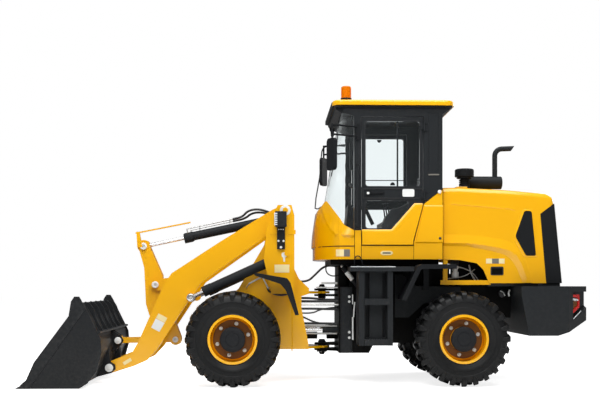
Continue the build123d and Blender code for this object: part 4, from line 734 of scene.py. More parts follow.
    def to_object(self) -> bpy.types.Object:
        """Closes the mesh and leaves it without a finish.

        Returns:
            The object.
        """
        bmesh.ops.recalc_face_normals(self.bm, faces=self.bm.faces)
        mesh = bpy.data.meshes.new(self.name)
        self.bm.to_mesh(mesh)
        self.bm.free()
        return to_scene(self.name, mesh)


# ------------------------------------------------------------------ repeats
class Repeat(Enum):
    """How a small part is repeated."""

    ROUND = "round an axis"
    ROW = "in a row"


def repeat_tree(kind: Repeat) -> bpy.types.NodeTree:
    """A Geometry Nodes tree that repeats the mesh it is given, turned or shifted by one step a copy.

    Args:
        kind: round an axis or in a row.

    Returns:
        The tree.
    """
    tree = bpy.data.node_groups.new(f"repeat_{kind.name.lower()}", "GeometryNodeTree")
    face = tree.interface
    face.new_socket("Geometry", in_out="INPUT", socket_type="NodeSocketGeometry")
    face.new_socket("Count", in_out="INPUT", socket_type="NodeSocketInt").default_value = 6
    face.new_socket("Step", in_out="INPUT", socket_type="NodeSocketVector")
    face.new_socket("Material", in_out="INPUT", socket_type="NodeSocketMaterial")
    face.new_socket("Geometry", in_out="OUTPUT", socket_type="NodeSocketGeometry")
    net = Net(tree)
    given = net.add("NodeGroupInput").outputs
    points = net.add("GeometryNodePoints", {"Count": given["Count"]})
    step = net.add("ShaderNodeVectorMath", {0: given["Step"]}, operation="SCALE")
    tree.links.new(net.add("GeometryNodeInputIndex").outputs[0], step.inputs["Scale"])
    copies = net.add("GeometryNodeInstanceOnPoints",
                     {"Points": points.outputs[0], "Instance": given["Geometry"]})
    last = copies.outputs[0]
    if kind is Repeat.ROUND:
        turn = net.add("FunctionNodeEulerToRotation", {0: step.outputs[0]})
        tree.links.new(turn.outputs[0], copies.inputs["Rotation"])
    else:
        tree.links.new(step.outputs[0], points.inputs["Position"])
    real = net.add("GeometryNodeRealizeInstances", {0: last})
    finish = net.add("GeometryNodeSetMaterial", {"Geometry": real.outputs[0], "Material": given["Material"]})
    tree.links.new(finish.outputs[0], net.add("NodeGroupOutput").inputs[0])
    return tree


def repeated(piece: bpy.types.Object, kind: Repeat, count: int, step: Point, look: Look,
             centre: Point = (0, 0, 0)) -> bpy.types.Object:
    """Repeats a small part with Geometry Nodes and bakes the result.

    Args:
        piece: the part, made round the origin.
        kind: round an axis or in a row.
        count: how many copies.
        step: the turn in radians about each axis, or the shift in metres, from one copy to the next.
        look: the finish that the tree sets.
        centre: where the result's own origin goes.

    Returns:
        The piece with all its copies in one mesh.
    """
    tree = bpy.data.node_groups.get(f"repeat_{kind.name.lower()}") or repeat_tree(kind)
    modifier = piece.modifiers.new("repeat", "NODES")
    modifier.node_group = tree
    sockets = {s.name: s.identifier for s in tree.interface.items_tree if s.in_out == "INPUT"}
    modifier[sockets["Count"]] = count
    modifier[sockets["Step"]] = tuple(float(v) for v in step)
    modifier[sockets["Material"]] = MATERIALS[look]
    bake(piece)
    piece.data.transform(Matrix.Translation(Vector(centre)))
    return piece


def softened(node: str, look: Look, body: str, width: float = 0.003,
             smooth: float = 32.0) -> bpy.types.Object:
    """A copy of a model node with rounded edges, which stands for the node.

    Args:
        node: the node's name.
        look: its finish.
        body: its body.
        width: how much the edges are rounded.
        smooth: the shading angle.

    Returns:
        The new piece.
    """
    bm = bmesh.new()
    bm.from_mesh(bpy.data.objects[node].data)
    bmesh.ops.remove_doubles(bm, verts=bm.verts, dist=2e-5)
    bmesh.ops.dissolve_degenerate(bm, edges=bm.edges, dist=1e-5)
    flat = [e for e in bm.edges if e.is_manifold and e.calc_face_angle(1.0) < 2e-4]
    bmesh.ops.dissolve_limit(bm, angle_limit=2e-4, verts=[], edges=flat)
    mesh = bpy.data.meshes.new(node + "_skin")
    bm.to_mesh(mesh)
    bm.free()
    piece = to_scene(node + "_skin", mesh)
    if width > 0:
        bevelled(piece, width, 2, 40.0)
    return dress(piece, look, body, (node,), smooth)


# ------------------------------------------------------------------ wheels
@dataclass
class Wheel:
    """One tyre with its lugs, and the nuts and hub cap of its rim."""

    name: str
    body: str
    side: int
    centre: tuple[float, float, float]
    radius: float = 0.525
    half_width: float = 0.2
    bead_radius: float = 0.2543
    bead_half: float = 0.165
    lug_count: int = 24
    lug_depth: float = 0.038
    nut_count: int = 6
    nut_circle: float = 0.176
    disc_offset: float = 0.07
    disc_wall: float = 0.016
    hub_radius: float = 0.138

    def carcass(self) -> bpy.types.Object:
        """The turned body of the tyre, with a rim line and moulded rings on its wall.

        Returns:
            The closed ring.
        """
        r, w, deep = self.radius, self.half_width, self.lug_depth
        bead, b = self.bead_radius, self.bead_half
        side = [
            (b - 0.012, bead), (b + 0.004, bead + 0.004), (b + 0.010, bead + 0.018),
            (b + 0.003, bead + 0.030),
            (b + 0.012, bead + 0.046), (b + 0.0195, bead + 0.070), (b + 0.0240, bead + 0.074),
            (b + 0.0270, bead + 0.094), (b + 0.0235, bead + 0.098), (w - 0.006, r - 0.128),
            (w - 0.001, r - 0.124),
            (w - 0.001, r - 0.112), (w - 0.006, r - 0.106), (w - 0.012, r - 0.078),
            (w - 0.026, r - deep - 0.018), (w - 0.050, r - deep - 0.004), (w - 0.110, r - deep),
        ]
        profile = [(-y, radius) for y, radius in side] + [(y, radius) for y, radius in reversed(side)]
        return Shape(self.name + "_carcass").turned(self.centre, (0, 1, 0), profile, 96, True).to_object()

    def lug(self, side: int) -> bpy.types.Object:
        """One tread block, from the middle over the shoulder and down the wall, round the origin.

        Args:
            side: -1 or 1, the half of the tread that it lies on.

        Returns:
            The block.
        """
        r, w, deep = self.radius, self.half_width, self.lug_depth
        # distance from the middle, outer radius, root radius, angle, half width in radians
        sections = (
            (-0.010, r - 0.001, r - deep - 0.004, -0.075, 0.042),
            (0.060, r, r - deep - 0.004, -0.045, 0.048),
            (0.118, r - 0.001, r - deep - 0.006, -0.010, 0.058),
            (w - 0.022, r - 0.014, r - deep - 0.020, 0.0, 0.066),
            (w + 0.001, r - 0.040, r - 0.080, 0.0, 0.066),
            (w + 0.0005, r - 0.078, r - 0.084, 0.0, 0.056),
            (w - 0.006, r - 0.112, r - 0.114, 0.0, 0.044),
        )
        rings = []
        for y, outer, root, angle, half in sections:
            inner_y = min(y, w - 0.034)
            ring = []
            for radius, at_y, spread in ((outer, y, -0.84), (outer, y, 0.84), (root, inner_y, 1.08),
                                         (root, inner_y, -1.08)):
                a = angle + spread * half
                ring.append((radius * math.sin(a), side * at_y, radius * math.cos(a)))
            rings.append(ring)
        return bevelled(Shape(f"{self.name}_lug_{side}").loft(rings).to_object(), 0.005, 2)

    def tyre(self) -> None:
        """The whole tyre, in place of the model's."""
        step = 2 * math.pi / self.lug_count
        parts = [self.carcass()]
        for side in (-1, 1):
            lug = self.lug(side)
            if side > 0:
                lug.data.transform(Matrix.Rotation(step / 2, 4, "Y"))
            parts.append(repeated(lug, Repeat.ROUND, self.lug_count, (0, step, 0), Look.RUBBER, self.centre))
        dress(joined(self.name + "_tread", parts), Look.RUBBER, self.body, (f"tyre_{self.name}",), 40)

    def fittings(self) -> None:
        """A dark brown ring on the disc, painted shade for the shadow inside the dished rim, then wheel nuts
        with washers and a domed cap with rings over the hub.
        """
        x, y, z = self.centre
        face = y + self.side * (self.disc_offset + self.disc_wall)
        out = (0, self.side, 0)
        # Painted shade: this ring is dark brown for the shadow inside the dished disc.
        ring = ((-0.004, 0.134), (0.0014, 0.134), (0.0014, 0.213), (0.0004, 0.216), (-0.004, 0.216))
        disc = Shape(self.name + "_disc").turned((x, face, z), out, ring, 64, True)
        disc.finish(Look.BROWN_AND_PAINTED_SHADE, self.body, 0)
        nuts = Shape(self.name + "_nuts").bolt((0, 0, self.nut_circle), out, 0.0155, 0.022)
        nuts.turned((0, 0, self.nut_circle), out, ((0.02, 0.0085), (0.034, 0.0085), (0.036, 0.006)), 12)
        nuts = repeated(nuts.to_object(), Repeat.ROUND, self.nut_count, (0, 2 * math.pi / self.nut_count, 0),
                        Look.ZINC)
        nuts.data.transform(Matrix.Rotation(math.radians(13), 4, "Y"))
        nuts.data.transform(Matrix.Translation((x, face, z)))
        dress(nuts, Look.ZINC, self.body)
        low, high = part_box(f"rim_{self.name}")
        crown = high.y if self.side > 0 else low.y
        r = self.hub_radius
        cap = ((-0.058, 0.0), (-0.058, r + 0.0005), (-0.052, r + 0.0015), (-0.022, r + 0.0015),
               (-0.010, r - 0.006),
               (-0.004, r - 0.026), (0.0006, r - 0.034), (0.0006, r - 0.058), (-0.003, r - 0.061),
               (-0.003, r - 0.066), (0.001, r - 0.069), (0.001, 0.0))
        Shape(self.name + "_hub_cap").turned((x, crown, z), out, cap, 64).finish(Look.CAST, self.body, 0)


# ------------------------------------------------------------------ loader arms
@dataclass
class LoaderArms:
    """Pins, caps, blank plates and lines on the boom, the crank, the cylinders and the bucket."""

    boom_face: float = 0.392
    crank_face: float = 0.095
    tilt_start: tuple[float, float] = (-1.437, 1.664)
    tilt_end: tuple[float, float] = (-0.304, 1.912)
    bucket_pin: tuple[float, float] = (-2.247, 0.183)
    link_pin: tuple[float, float] = (-2.204, 0.471)

    def pin(self, name: str, place: tuple[float, float], face: float, radius: float, body: str,
            look: Look = Look.WHITE) -> None:
        """A round pin end with a ring and a hollow middle, on both sides.

        Args:
            name: the piece's name.
            place: (x, z) of its axis.
            face: how far from the middle it sits.
            radius: of its cap.
            body: the body that it moves with.
            look: its finish.
        """
        shape, core = Shape(name), Shape(name + "_core")
        for side, _ in SIDES:
            centre, out = (place[0], side * face, place[1]), (0, side, 0)
            shape.turned(centre, out,
                         ((-0.004, radius), (0.005, radius), (0.008, radius * 0.86), (0.008, radius * 0.5),
                                       (0.003, radius * 0.42), (-0.004, radius * 0.42)), 28, True)
            core.turned(centre, out, ((-0.003, radius * 0.44), (0.0045, radius * 0.40), (0.0045, 0.0)), 20)
        shape.finish(look, body, 0)
        core.finish(Look.ZINC, body, 0)

    def pins(self) -> None:
        """Every pin end that shows."""
        self.pin("crank_head_pin", (-1.909, 1.572), self.crank_face, 0.040, "bellcrank")
        self.pin("crank_foot_pin", (-1.537, 0.481), self.crank_face, 0.034, "bellcrank")
        self.pin("crank_pivot_pin", (-1.769, 1.122), 0.1305, 0.040, "boom")
        self.pin("lift_eye_pin", (-1.326, 0.977), 0.504, 0.038, "lift_rods", Look.CHROME)
        self.pin("boom_foot_pin", (-0.259, 1.961), 0.5455, 0.060, "front_frame")

    def bucket_pins(self) -> None:
        """Pale pin ends with grease caps on the bucket's ears."""
        shape = Shape("bucket_pins")
        for side, _ in SIDES:
            for (x, z), face, radius in ((self.bucket_pin, 0.471, 0.046), (self.link_pin, 0.108, 0.040)):
                profile = ((-0.004, 0.0), (-0.004, radius), (0.008, radius), (0.013, radius * 0.8),
                           (0.013, 0.012),
                           (0.022, 0.010), (0.022, 0.0))
                shape.turned((x, side * face, z), (0, side, 0), profile, 24)
        shape.finish(Look.WHITE, "bucket", 0)

    def plates(self) -> None:
        """Blank plates on the outside of both arms."""
        y = self.boom_face
        for side, label in SIDES:
            warm = ((-1.700, 0.795), (-1.600, 0.742), (-1.629, 0.690), (-1.729, 0.743))
            pale = ((-1.731, 0.739), (-1.631, 0.686), (-1.690, 0.585), (-1.783, 0.634))
            low = ((-2.107, 0.238), (-2.020, 0.291), (-2.000, 0.258), (-2.087, 0.205))
            for name, outline, look in (("warm", warm, Look.CREAM), ("pale", pale, Look.WHITE),
                                        ("low", low, Look.CREAM)):
                sheet = Shape(f"arm_plate_{name}_{label}").prism(outline, side * (y - 0.001),
                                                                 side * (y + 0.0022))
                sheet.finish(look, "boom", 0.0008)

    def tilt_line(self) -> None:
        """A bright pipe with clips along the top of the tilt barrel, and the ring at its mouth."""
        a = Vector((self.tilt_start[0], 0, self.tilt_start[1]))
        b = Vector((self.tilt_end[0], 0, self.tilt_end[1]))
        way = (b - a).normalized()
        up = Vector((-way.z, 0, way.x))

        def spot(along: float, height: float, y: float) -> tuple[float, float, float]:
            """A point beside the barrel."""
            return tuple(a + way * along + up * height + Vector((0, y, 0)))

        pipes = Shape("tilt_pipes")
        pipes.bar((spot(0.05, 0.05, -0.02), spot(0.05, 0.105, -0.02), spot(0.60, 0.105, -0.02)), 0.0085, 0)
        pipes.bar((spot(0.09, 0.05, 0.02), spot(0.09, 0.082, 0.02), spot(0.60, 0.082, 0.02)), 0.0075, 0)
        pipes.finish(Look.ZINC, "tilt_barrel", 0)
        clips = Shape("tilt_pipe_clips")
        for along in (0.20, 0.56):
            clips.box(spot(along - 0.008, 0.04, -0.036), spot(along + 0.008, 0.118, 0.036))
        clips.finish(Look.CAST, "tilt_barrel", 0.002)
        mouth = ((-0.004, 0.040), (-0.004, 0.0575), (0.092, 0.0575), (0.096, 0.0535), (0.102, 0.0535),
                 (0.102, 0.040))
        Shape("tilt_mouth").turned(spot(0, 0, 0), way, mouth, 40, True).finish(Look.BLACK, "tilt_barrel",
                                                                               0.0015)
        hoses = Shape("tilt_hoses")
        hoses.bar((spot(0.60, 0.105, -0.02), spot(0.72, 0.105, -0.02), spot(0.80, 0.165, -0.03),
                   spot(0.93, 0.155, -0.04), spot(1.06, 0.08, -0.04)), 0.013, 3)
        hoses.bar((spot(0.60, 0.082, 0.02), spot(0.74, 0.08, 0.02), spot(0.84, 0.13, 0.0),
                   spot(0.97, 0.11, 0.0), spot(1.06, 0.05, 0.0)), 0.013, 3)
        hoses.finish(Look.HOSE_AND_SHADE, "tilt_barrel", 0, smooth=60)

    def build(self) -> None:
        """Makes all of it."""
        self.pins()
        self.bucket_pins()
        self.plates()
        self.tilt_line()


# ------------------------------------------------------------------ front frame
@dataclass
class Tower:
    """Lamps, brackets, plates, stays and hoses on the front frame."""

    plate: float = 0.5455
    bracket_face: float = 0.6

    def lamps(self) -> None:
        """Cooling ribs and clear lenses on the fronts of the lamp boxes, and bolts on their brackets."""
        for side, label in SIDES:
            y0, y1 = sorted((side * 0.5655, side * 0.6495))
            lens = Shape(f"headlamp_lens_{label}")
            lens.slab(((y0, 1.782), (y1, 1.782), (y1, 1.930), (y0, 1.930)),
                      ((y0 + 0.006, 1.790), (y1 - 0.006, 1.790), (y1 - 0.006, 1.922), (y0 + 0.006, 1.922)),
                      -0.372, -0.384, "X")
            lens.finish(Look.LENS, "front_frame", 0.003)
            rib = Shape(f"headlamp_rib_{label}").prism(((-0.387, 0.0), (-0.350, 0.0), (-0.350, 0.010),
                                                        (-0.382, 0.010)),
                                                       side * 0.6535, side * 0.6595)
            ribs = repeated(rib.to_object(), Repeat.ROW, 7, (0, 0, 0.0205), Look.LENS, (0, 0, 1.789))
            dress(bevelled(ribs, 0.001), Look.LENS, "front_frame")
            bolts = Shape(f"bracket_bolts_{label}")
            for x, z, radius in ((-0.337, 1.612, 0.009), (-0.280, 1.612, 0.009), (-0.308, 1.541, 0.010),
                                 (-0.332, 1.742, 0.005), (-0.308, 1.742, 0.005), (-0.284, 1.742, 0.005)):
                bolts.bolt((x, side * self.bracket_face, z), (0, side, 0), radius, 0.010)
            bolts.finish(Look.WHITE, "front_frame", 0)

    def plates(self) -> None:
        """A blank sign and a blank label on each side plate, and the edge of its folded flange."""
        y = self.plate
        for side, label in SIDES:
            head = rounded(((-0.303, 1.487), (-0.247, 1.487), (-0.243, 1.430), (-0.300, 1.425)), 0.015)
            sign = Shape(f"tower_sign_{label}").prism(head, side * (y - 0.001), side * (y + 0.0025))
            tail = ((-0.286, 1.430), (-0.262, 1.430), (-0.262, 1.380), (-0.280, 1.380))
            sign.prism(tail, side * (y - 0.001), side * (y + 0.0022))
            sign.finish(Look.WHITE, "front_frame", 0.0006)
            tag = Shape(f"tower_label_{label}")
            tag.prism(((-0.381, 1.258), (-0.214, 1.258), (-0.214, 1.348), (-0.381, 1.348)),
                      side * (y - 0.001),
                      side * (y + 0.0025))
            tag.finish(Look.CREAM, "front_frame", 0.0008)
            crease = Shape(f"tower_crease_{label}")
            crease.ridge(((-0.186, 0.965), (-0.186, 0.352)), ((-0.176, 0.965), (-0.176, 0.352)),
                         ((-0.173, 0.965), (-0.173, 0.352)), side * 0.3495, 0.003)
            crease.finish(Look.YELLOW, "front_frame", 0)

    def stays(self) -> None:
        """Bright stays under the fenders, the fenders' edge beads and the lift cylinders' hoses."""
        for side, label in SIDES:
            stays = Shape(f"fender_stays_{label}")
            stays.bar(((-0.520, side * 0.70, 1.212), (-0.66, side * 0.64, 1.135), (-0.70, side * 0.36, 1.09)),
                      0.009)
            stays.bar(((-0.515, side * 0.66, 1.205), (-0.455, side * 0.60, 1.088),
                       (-0.42, side * 0.36, 1.085)), 0.009)
            stays.finish(Look.ZINC, "front_frame", 0)
            rail = Shape(f"fender_edge_{label}")
            rail.bar(((-0.598, side * 0.596, 1.252), (-0.245, side * 0.596, 1.192)), 0.004, 0, 6)
            rail.finish(Look.BLACK, "front_frame", 0)
            hose = Shape(f"lift_hose_{label}")
            hose.bar(((-0.46, side * 0.42, 1.09), (-0.45, side * 0.46, 1.05), (-0.37, side * 0.44, 1.01),
                      (-0.28, side * 0.40, 1.00), (-0.20, side * 0.36, 1.03)), 0.013, 3)
            hose.finish(Look.HOSE_AND_SHADE, "front_frame", 0, smooth=60)

    def build(self) -> None:
        """Makes all of it."""
        self.lamps()
        self.plates()
        self.stays()


# ------------------------------------------------------------------ articulation
@dataclass
class Articulation:
    """Hoses and pipes between the two frames, pins and bolts of the joint, and the frame's front post."""

    near: float = -0.10
    far: float = 0.45

    def hoses(self) -> None:
        """The hoses between the two frames, which belong to neither frame's body."""
        runs = (
            # name, radius, finish, points
            ("pressure", 0.013, Look.HOSE_AND_SHADE, ((-0.12, -0.22, 0.967), (0.06, -0.22, 0.967), (0.22, -0.24, 0.945),
                                            (0.46, -0.26, 0.955))),
            ("return", 0.015, Look.HOSE_AND_SHADE, ((-0.12, -0.27, 0.930), (0.10, -0.27, 0.930), (0.28, -0.29, 0.930),
                                          (0.46, -0.30, 0.935))),
            ("pilot", 0.010, Look.ZINC, ((-0.12, -0.31, 0.892), (0.10, -0.31, 0.894), (0.28, -0.31, 0.892),
                                         (0.46, -0.31, 0.890))),
            ("drain", 0.013, Look.HOSE_AND_SHADE, ((-0.12, -0.28, 0.845), (0.10, -0.28, 0.845), (0.28, -0.28, 0.838),
                                         (0.46, -0.28, 0.840))),
            ("brake", 0.009, Look.HOSE_AND_SHADE, ((-0.12, -0.32, 0.797), (0.06, -0.32, 0.793), (0.14, -0.30, 0.835),
                                         (0.30, -0.28, 0.86), (0.46, -0.26, 0.862))),
            ("low_one", 0.014, Look.HOSE_AND_SHADE,
             ((-0.12, -0.20, 0.672), (0.10, -0.20, 0.672), (0.46, -0.22, 0.668))),
            ("low_two", 0.013, Look.ZINC,
             ((-0.12, -0.060, 0.636), (0.10, -0.060, 0.636), (0.46, -0.060, 0.632))),
            ("low_three", 0.015, Look.HOSE_AND_SHADE,
             ((-0.12, -0.050, 0.595), (0.10, -0.050, 0.592), (0.46, -0.050, 0.590))),
            ("low_four", 0.012, Look.ZINC,
             ((-0.12, -0.060, 0.548), (0.10, -0.060, 0.548), (0.46, -0.060, 0.545))),
            ("low_loop", 0.010, Look.HOSE_AND_SHADE,
             ((-0.14, -0.30, 0.785), (-0.03, -0.32, 0.742), (0.07, -0.31, 0.692),
                                             (0.22, -0.29, 0.664), (0.46, -0.27, 0.667))),
            ("cab_loop", 0.012, Look.HOSE_AND_SHADE, ((-0.13, -0.20, 1.158), (0.01, -0.21, 1.162), (0.08, -0.22, 1.225),
                                            (0.20, -0.22, 1.345), (0.34, -0.20, 1.34), (0.46, -0.20, 1.30))),
        )
        for name, radius, look, points in runs:
            piece = Shape(f"hose_{name}").bar(points, radius, 3).to_object()
            dress(piece, look, "", (), 60)
            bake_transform(piece)

    def pins(self) -> None:
        """Heads, keeper plates and bolts of the upper and lower hinge."""
        pins, bolts = Shape("hinge_pins"), Shape("hinge_bolts")
        for z, up in ((1.032, 1), (0.395, -1)):
            head = ((-0.085, 0.030), (-0.060, 0.046), (0.045, 0.046), (0.050, 0.062), (0.060, 0.062),
                    (0.066, 0.030),
                    (0.094, 0.028), (0.098, 0.0))
            pins.turned((0.182, 0, z), (0, 0, up), ((-0.085, 0.0), *head), 32)
            for turn in range(6):
                a = turn * math.pi / 3 + 0.3
                spot = (0.182 + 0.054 * math.cos(a), 0.054 * math.sin(a), z + up * 0.060)
                bolts.bolt(spot, (0, 0, up), 0.006, 0.008)
        pins.finish(Look.CAST, "rear_frame", 0.001)
        bolts.finish(Look.ZINC, "rear_frame", 0)
        bar = Shape("hinge_lock_bar").box((0.16, -0.335, 1.128), (0.345, -0.305, 1.152))
        bar.box((0.10, -0.36, 1.083), (0.345, -0.28, 1.096))
        bar.finish(Look.ZINC, "rear_frame", 0.002)

    def post(self) -> None:
        """The rear frame's front post with bolts and rods, the side plate, the fluid can and loops."""
        y = -0.405
        post = Shape("frame_post").box((0.372, y - 0.026, 0.347), (0.506, y + 0.004, 1.096))
        post.box((0.385, y - 0.040, 0.349), (0.487, y - 0.020, 1.090))
        post.finish(Look.BLACK, "rear_frame", 0.004)
        bolts = Shape("frame_post_bolts")
        for z in (0.984, 0.929, 0.580, 0.517):
            bolts.bolt((0.471, y - 0.040, z), (0, -1, 0), 0.011, 0.012)
        bolts.finish(Look.WHITE, "rear_frame", 0)
        side = Shape("frame_side_plate")
        side.prism(((0.975, 0.752), (1.135, 0.752), (1.300, 0.905), (1.720, 1.000), (1.720, 1.098),
                    (1.215, 1.108),
                    (1.060, 1.236), (0.975, 1.236)), -0.566, -0.554, "Y")
        side.finish(Look.BLACK, "rear_frame", 0.002)
        rods = Shape("frame_rods")
        rods.bar(((0.511, y - 0.045, 0.495), (0.511, y - 0.045, 0.752)), 0.009)
        rods.bar(((0.520, y - 0.040, 0.752), (0.526, y - 0.040, 0.84), (0.533, y - 0.040, 0.925)), 0.008)
        rods.bar(((0.509, y - 0.040, 0.90), (0.509, y - 0.040, 1.01)), 0.006)
        rods.finish(Look.WHITE, "rear_frame", 0)
        a, b = Vector((0.391, -0.47, 1.325)), Vector((0.585, -0.47, 1.082))
        way, length = (b - a).normalized(), (b - a).length
        can = ((0.0, 0.0), (0.0, 0.018), (0.012, 0.026), (0.045, 0.028), (length - 0.02, 0.028),
               (length, 0.020),
               (length, 0.0))
        Shape("fluid_can").turned(a, way, can, 28).finish(Look.PLASTIC, "rear_frame", 0, smooth=40)
        band = ((0.075, 0.0275), (0.075, 0.0288), (0.185, 0.0288), (0.185, 0.0275))
        Shape("fluid_can_band").turned(a, way, band, 28, True).finish(Look.WHITE, "rear_frame", 0)
        cap = ((-0.022, 0.0), (-0.022, 0.013), (-0.016, 0.016), (0.003, 0.016), (0.003, 0.0))
        Shape("fluid_can_cap").turned(a, way, cap, 20).finish(Look.ZINC, "rear_frame", 0.001)
        loops = Shape("engine_loops")
        loops.bar(((0.22, -0.30, 1.350), (0.208, -0.31, 1.30), (0.225, -0.31, 1.25), (0.285, -0.30, 1.218),
                   (0.36, -0.28, 1.23)), 0.007, 3)
        loops.bar(((0.39, -0.46, 1.345), (0.40, -0.44, 1.39), (0.42, -0.40, 1.40)), 0.006, 2)
        loops.finish(Look.HOSE_AND_SHADE, "rear_frame", 0, smooth=60)

    def build(self) -> None:
        """Makes all of it."""
        self.hoses()
        self.pins()
        self.post()


# ------------------------------------------------------------------ cab
@dataclass
class Door:
    """The painted lower skin, handle, plates and window fittings of one door."""

    side: int
    body: str
    face: float = 0.678
    glass: float = 0.664

    def skin(self) -> None:
        """The painted skin with its sloping upper edge, and dark strips round the pressed band with the
        handle, painted shade for its creases.
        """
        s, y = self.side, self.face
        back = ((0.593, 1.566), (1.169, 1.566), (1.169, 1.613), (1.276, 2.020), (1.276, 2.036),
                (1.180, 2.036),
                (0.920, 1.742), (0.593, 1.742))
        front = ((0.596, 1.569), (1.166, 1.569), (1.166, 1.613), (1.271, 2.003), (1.270, 1.996),
                 (1.200, 1.996),
                 (0.940, 1.700), (0.596, 1.700))
        skin = Shape(f"door_skin_{self.body}").slab(back, front, s * (y - 0.002), s * (y + 0.020))
        skin.finish(Look.YELLOW, self.body, 0.003)
        # Dark strips round the pressed band: painted shade for the creases of its outline.
        band = Shape(f"door_band_shade_lines_{self.body}")
        for outline in (((0.606, 2.186), (1.270, 2.186), (1.270, 2.196), (0.606, 2.196)),
                        ((0.606, 2.082), (1.270, 2.082), (1.270, 2.092), (0.606, 2.092)),
                        ((0.600, 2.082), (0.611, 2.082), (0.611, 2.196), (0.600, 2.196)),
                        ((1.265, 2.082), (1.275, 2.082), (1.275, 2.196), (1.265, 2.196))):
            band.prism(outline, s * (y - 0.001), s * (y + 0.005))
        band.finish(Look.HOSE_AND_SHADE, self.body, 0.002)

    def handle(self) -> None:
        """The lock with its bright key plate and the pull handle."""
        s, y = self.side, self.face
        cup = Shape(f"door_lock_{self.body}")
        cup.prism(rounded(((0.632, 2.112), (0.694, 2.112), (0.694, 2.174), (0.632, 2.174)), 0.018),
                  s * (y - 0.001), s * (y + 0.016))
        cup.slab(((0.690, 2.128), (0.842, 2.136), (0.842, 2.156), (0.690, 2.160)),
                 ((0.690, 2.132), (0.836, 2.140), (0.836, 2.153), (0.690, 2.156)), s * (y + 0.004),
                 s * (y + 0.022))
        cup.finish(Look.PLASTIC, self.body, 0.002)
        key = ((-0.002, 0.0), (-0.002, 0.016), (0.005, 0.015), (0.006, 0.011), (0.004, 0.0))
        Shape(f"door_key_{self.body}").turned((0.661, s * (y + 0.014), 2.143), (0, s, 0), key, 20).finish(
            Look.WHITE, self.body, 0)
        tag = Shape(f"door_plate_{self.body}")
        tag.prism(rounded(((1.047, 2.104), (1.180, 2.104), (1.180, 2.190), (1.047, 2.190)), 0.010),
                  s * (y + 0.0), s * (y + 0.0065))
        tag.finish(Look.WHITE, self.body, 0.0008)
        oval = rounded(((0.800, 1.452), (0.940, 1.452), (0.940, 1.499), (0.800, 1.499)), 0.022)
        Shape(f"sill_plate_{self.body}").prism(oval, s * 0.679, s * 0.6835).finish(Look.CREAM, "rear_frame",
                                                                                   0.0008)
        inner = rounded(((0.822, 1.466), (0.918, 1.466), (0.918, 1.485), (0.822, 1.485)), 0.008)
        Shape(f"sill_mark_{self.body}").prism(inner, s * 0.683, s * 0.6842).finish(Look.GREY, "rear_frame", 0)

    def window(self) -> None:
        """Sliding frame bars, a rubber lip round each light and the latches."""
        s, y = self.side, self.glass
        bars = Shape(f"window_bars_{self.body}")
        if s < 0:
            bars.box((0.985, -0.661, 2.223), (1.003, -0.650, 2.945))
        bars.box((0.636, min(s * 0.652, s * 0.661), 2.283), (1.240, max(s * 0.652, s * 0.661), 2.292))
        for x, z, up in ((0.938, 2.938, -1), (0.938, 2.232, 1)):
            arc = [(x + 0.028 * math.cos(a), z + up * 0.034 * math.sin(a))
                   for a in (math.pi * i / 10 for i in range(11))]
            bars.prism(arc, s * (y - 0.006), s * (y + 0.012))
        bars.finish(Look.PLASTIC, self.body, 0.0012)
        lips = Shape(f"window_lips_{self.body}")
        for outline in (((0.636, 2.223), (1.240, 2.223), (1.240, 2.945), (0.636, 2.945)),
                        ((0.636, 1.752), (0.929, 1.752), (1.115, 1.975), (1.115, 2.060), (0.636, 2.060))):
            lips.loft([self.lip(outline, grow, level) for grow, level in
                       ((-0.012, 0.0065), (-0.012, 0.0185), (0.006, 0.0185), (0.010, 0.0065))], True)
        lips.finish(Look.HOSE_AND_SHADE, self.body, 0, smooth=50)

    def lip(self, outline: Outline, grow: float, level: float) -> list[tuple[float, float, float]]:
        """The outline of a light, grown from its middle.

        Args:
            outline: its corners.
            grow: how far it grows, negative inwards.
            level: how far out of the glass.

        Returns:
            The ring of points.
        """
        middle = (sum(p[0] for p in outline) / len(outline), sum(p[1] for p in outline) / len(outline))
        base = self.glass - 0.004 + level
        return [(x + math.copysign(grow, x - middle[0]), self.side * base,
                 z + math.copysign(grow, z - middle[1]))
                for x, z in rounded(outline, 0.022)]

    def build(self) -> None:
        """Makes all of it."""
        self.skin()
        self.handle()
        self.window()


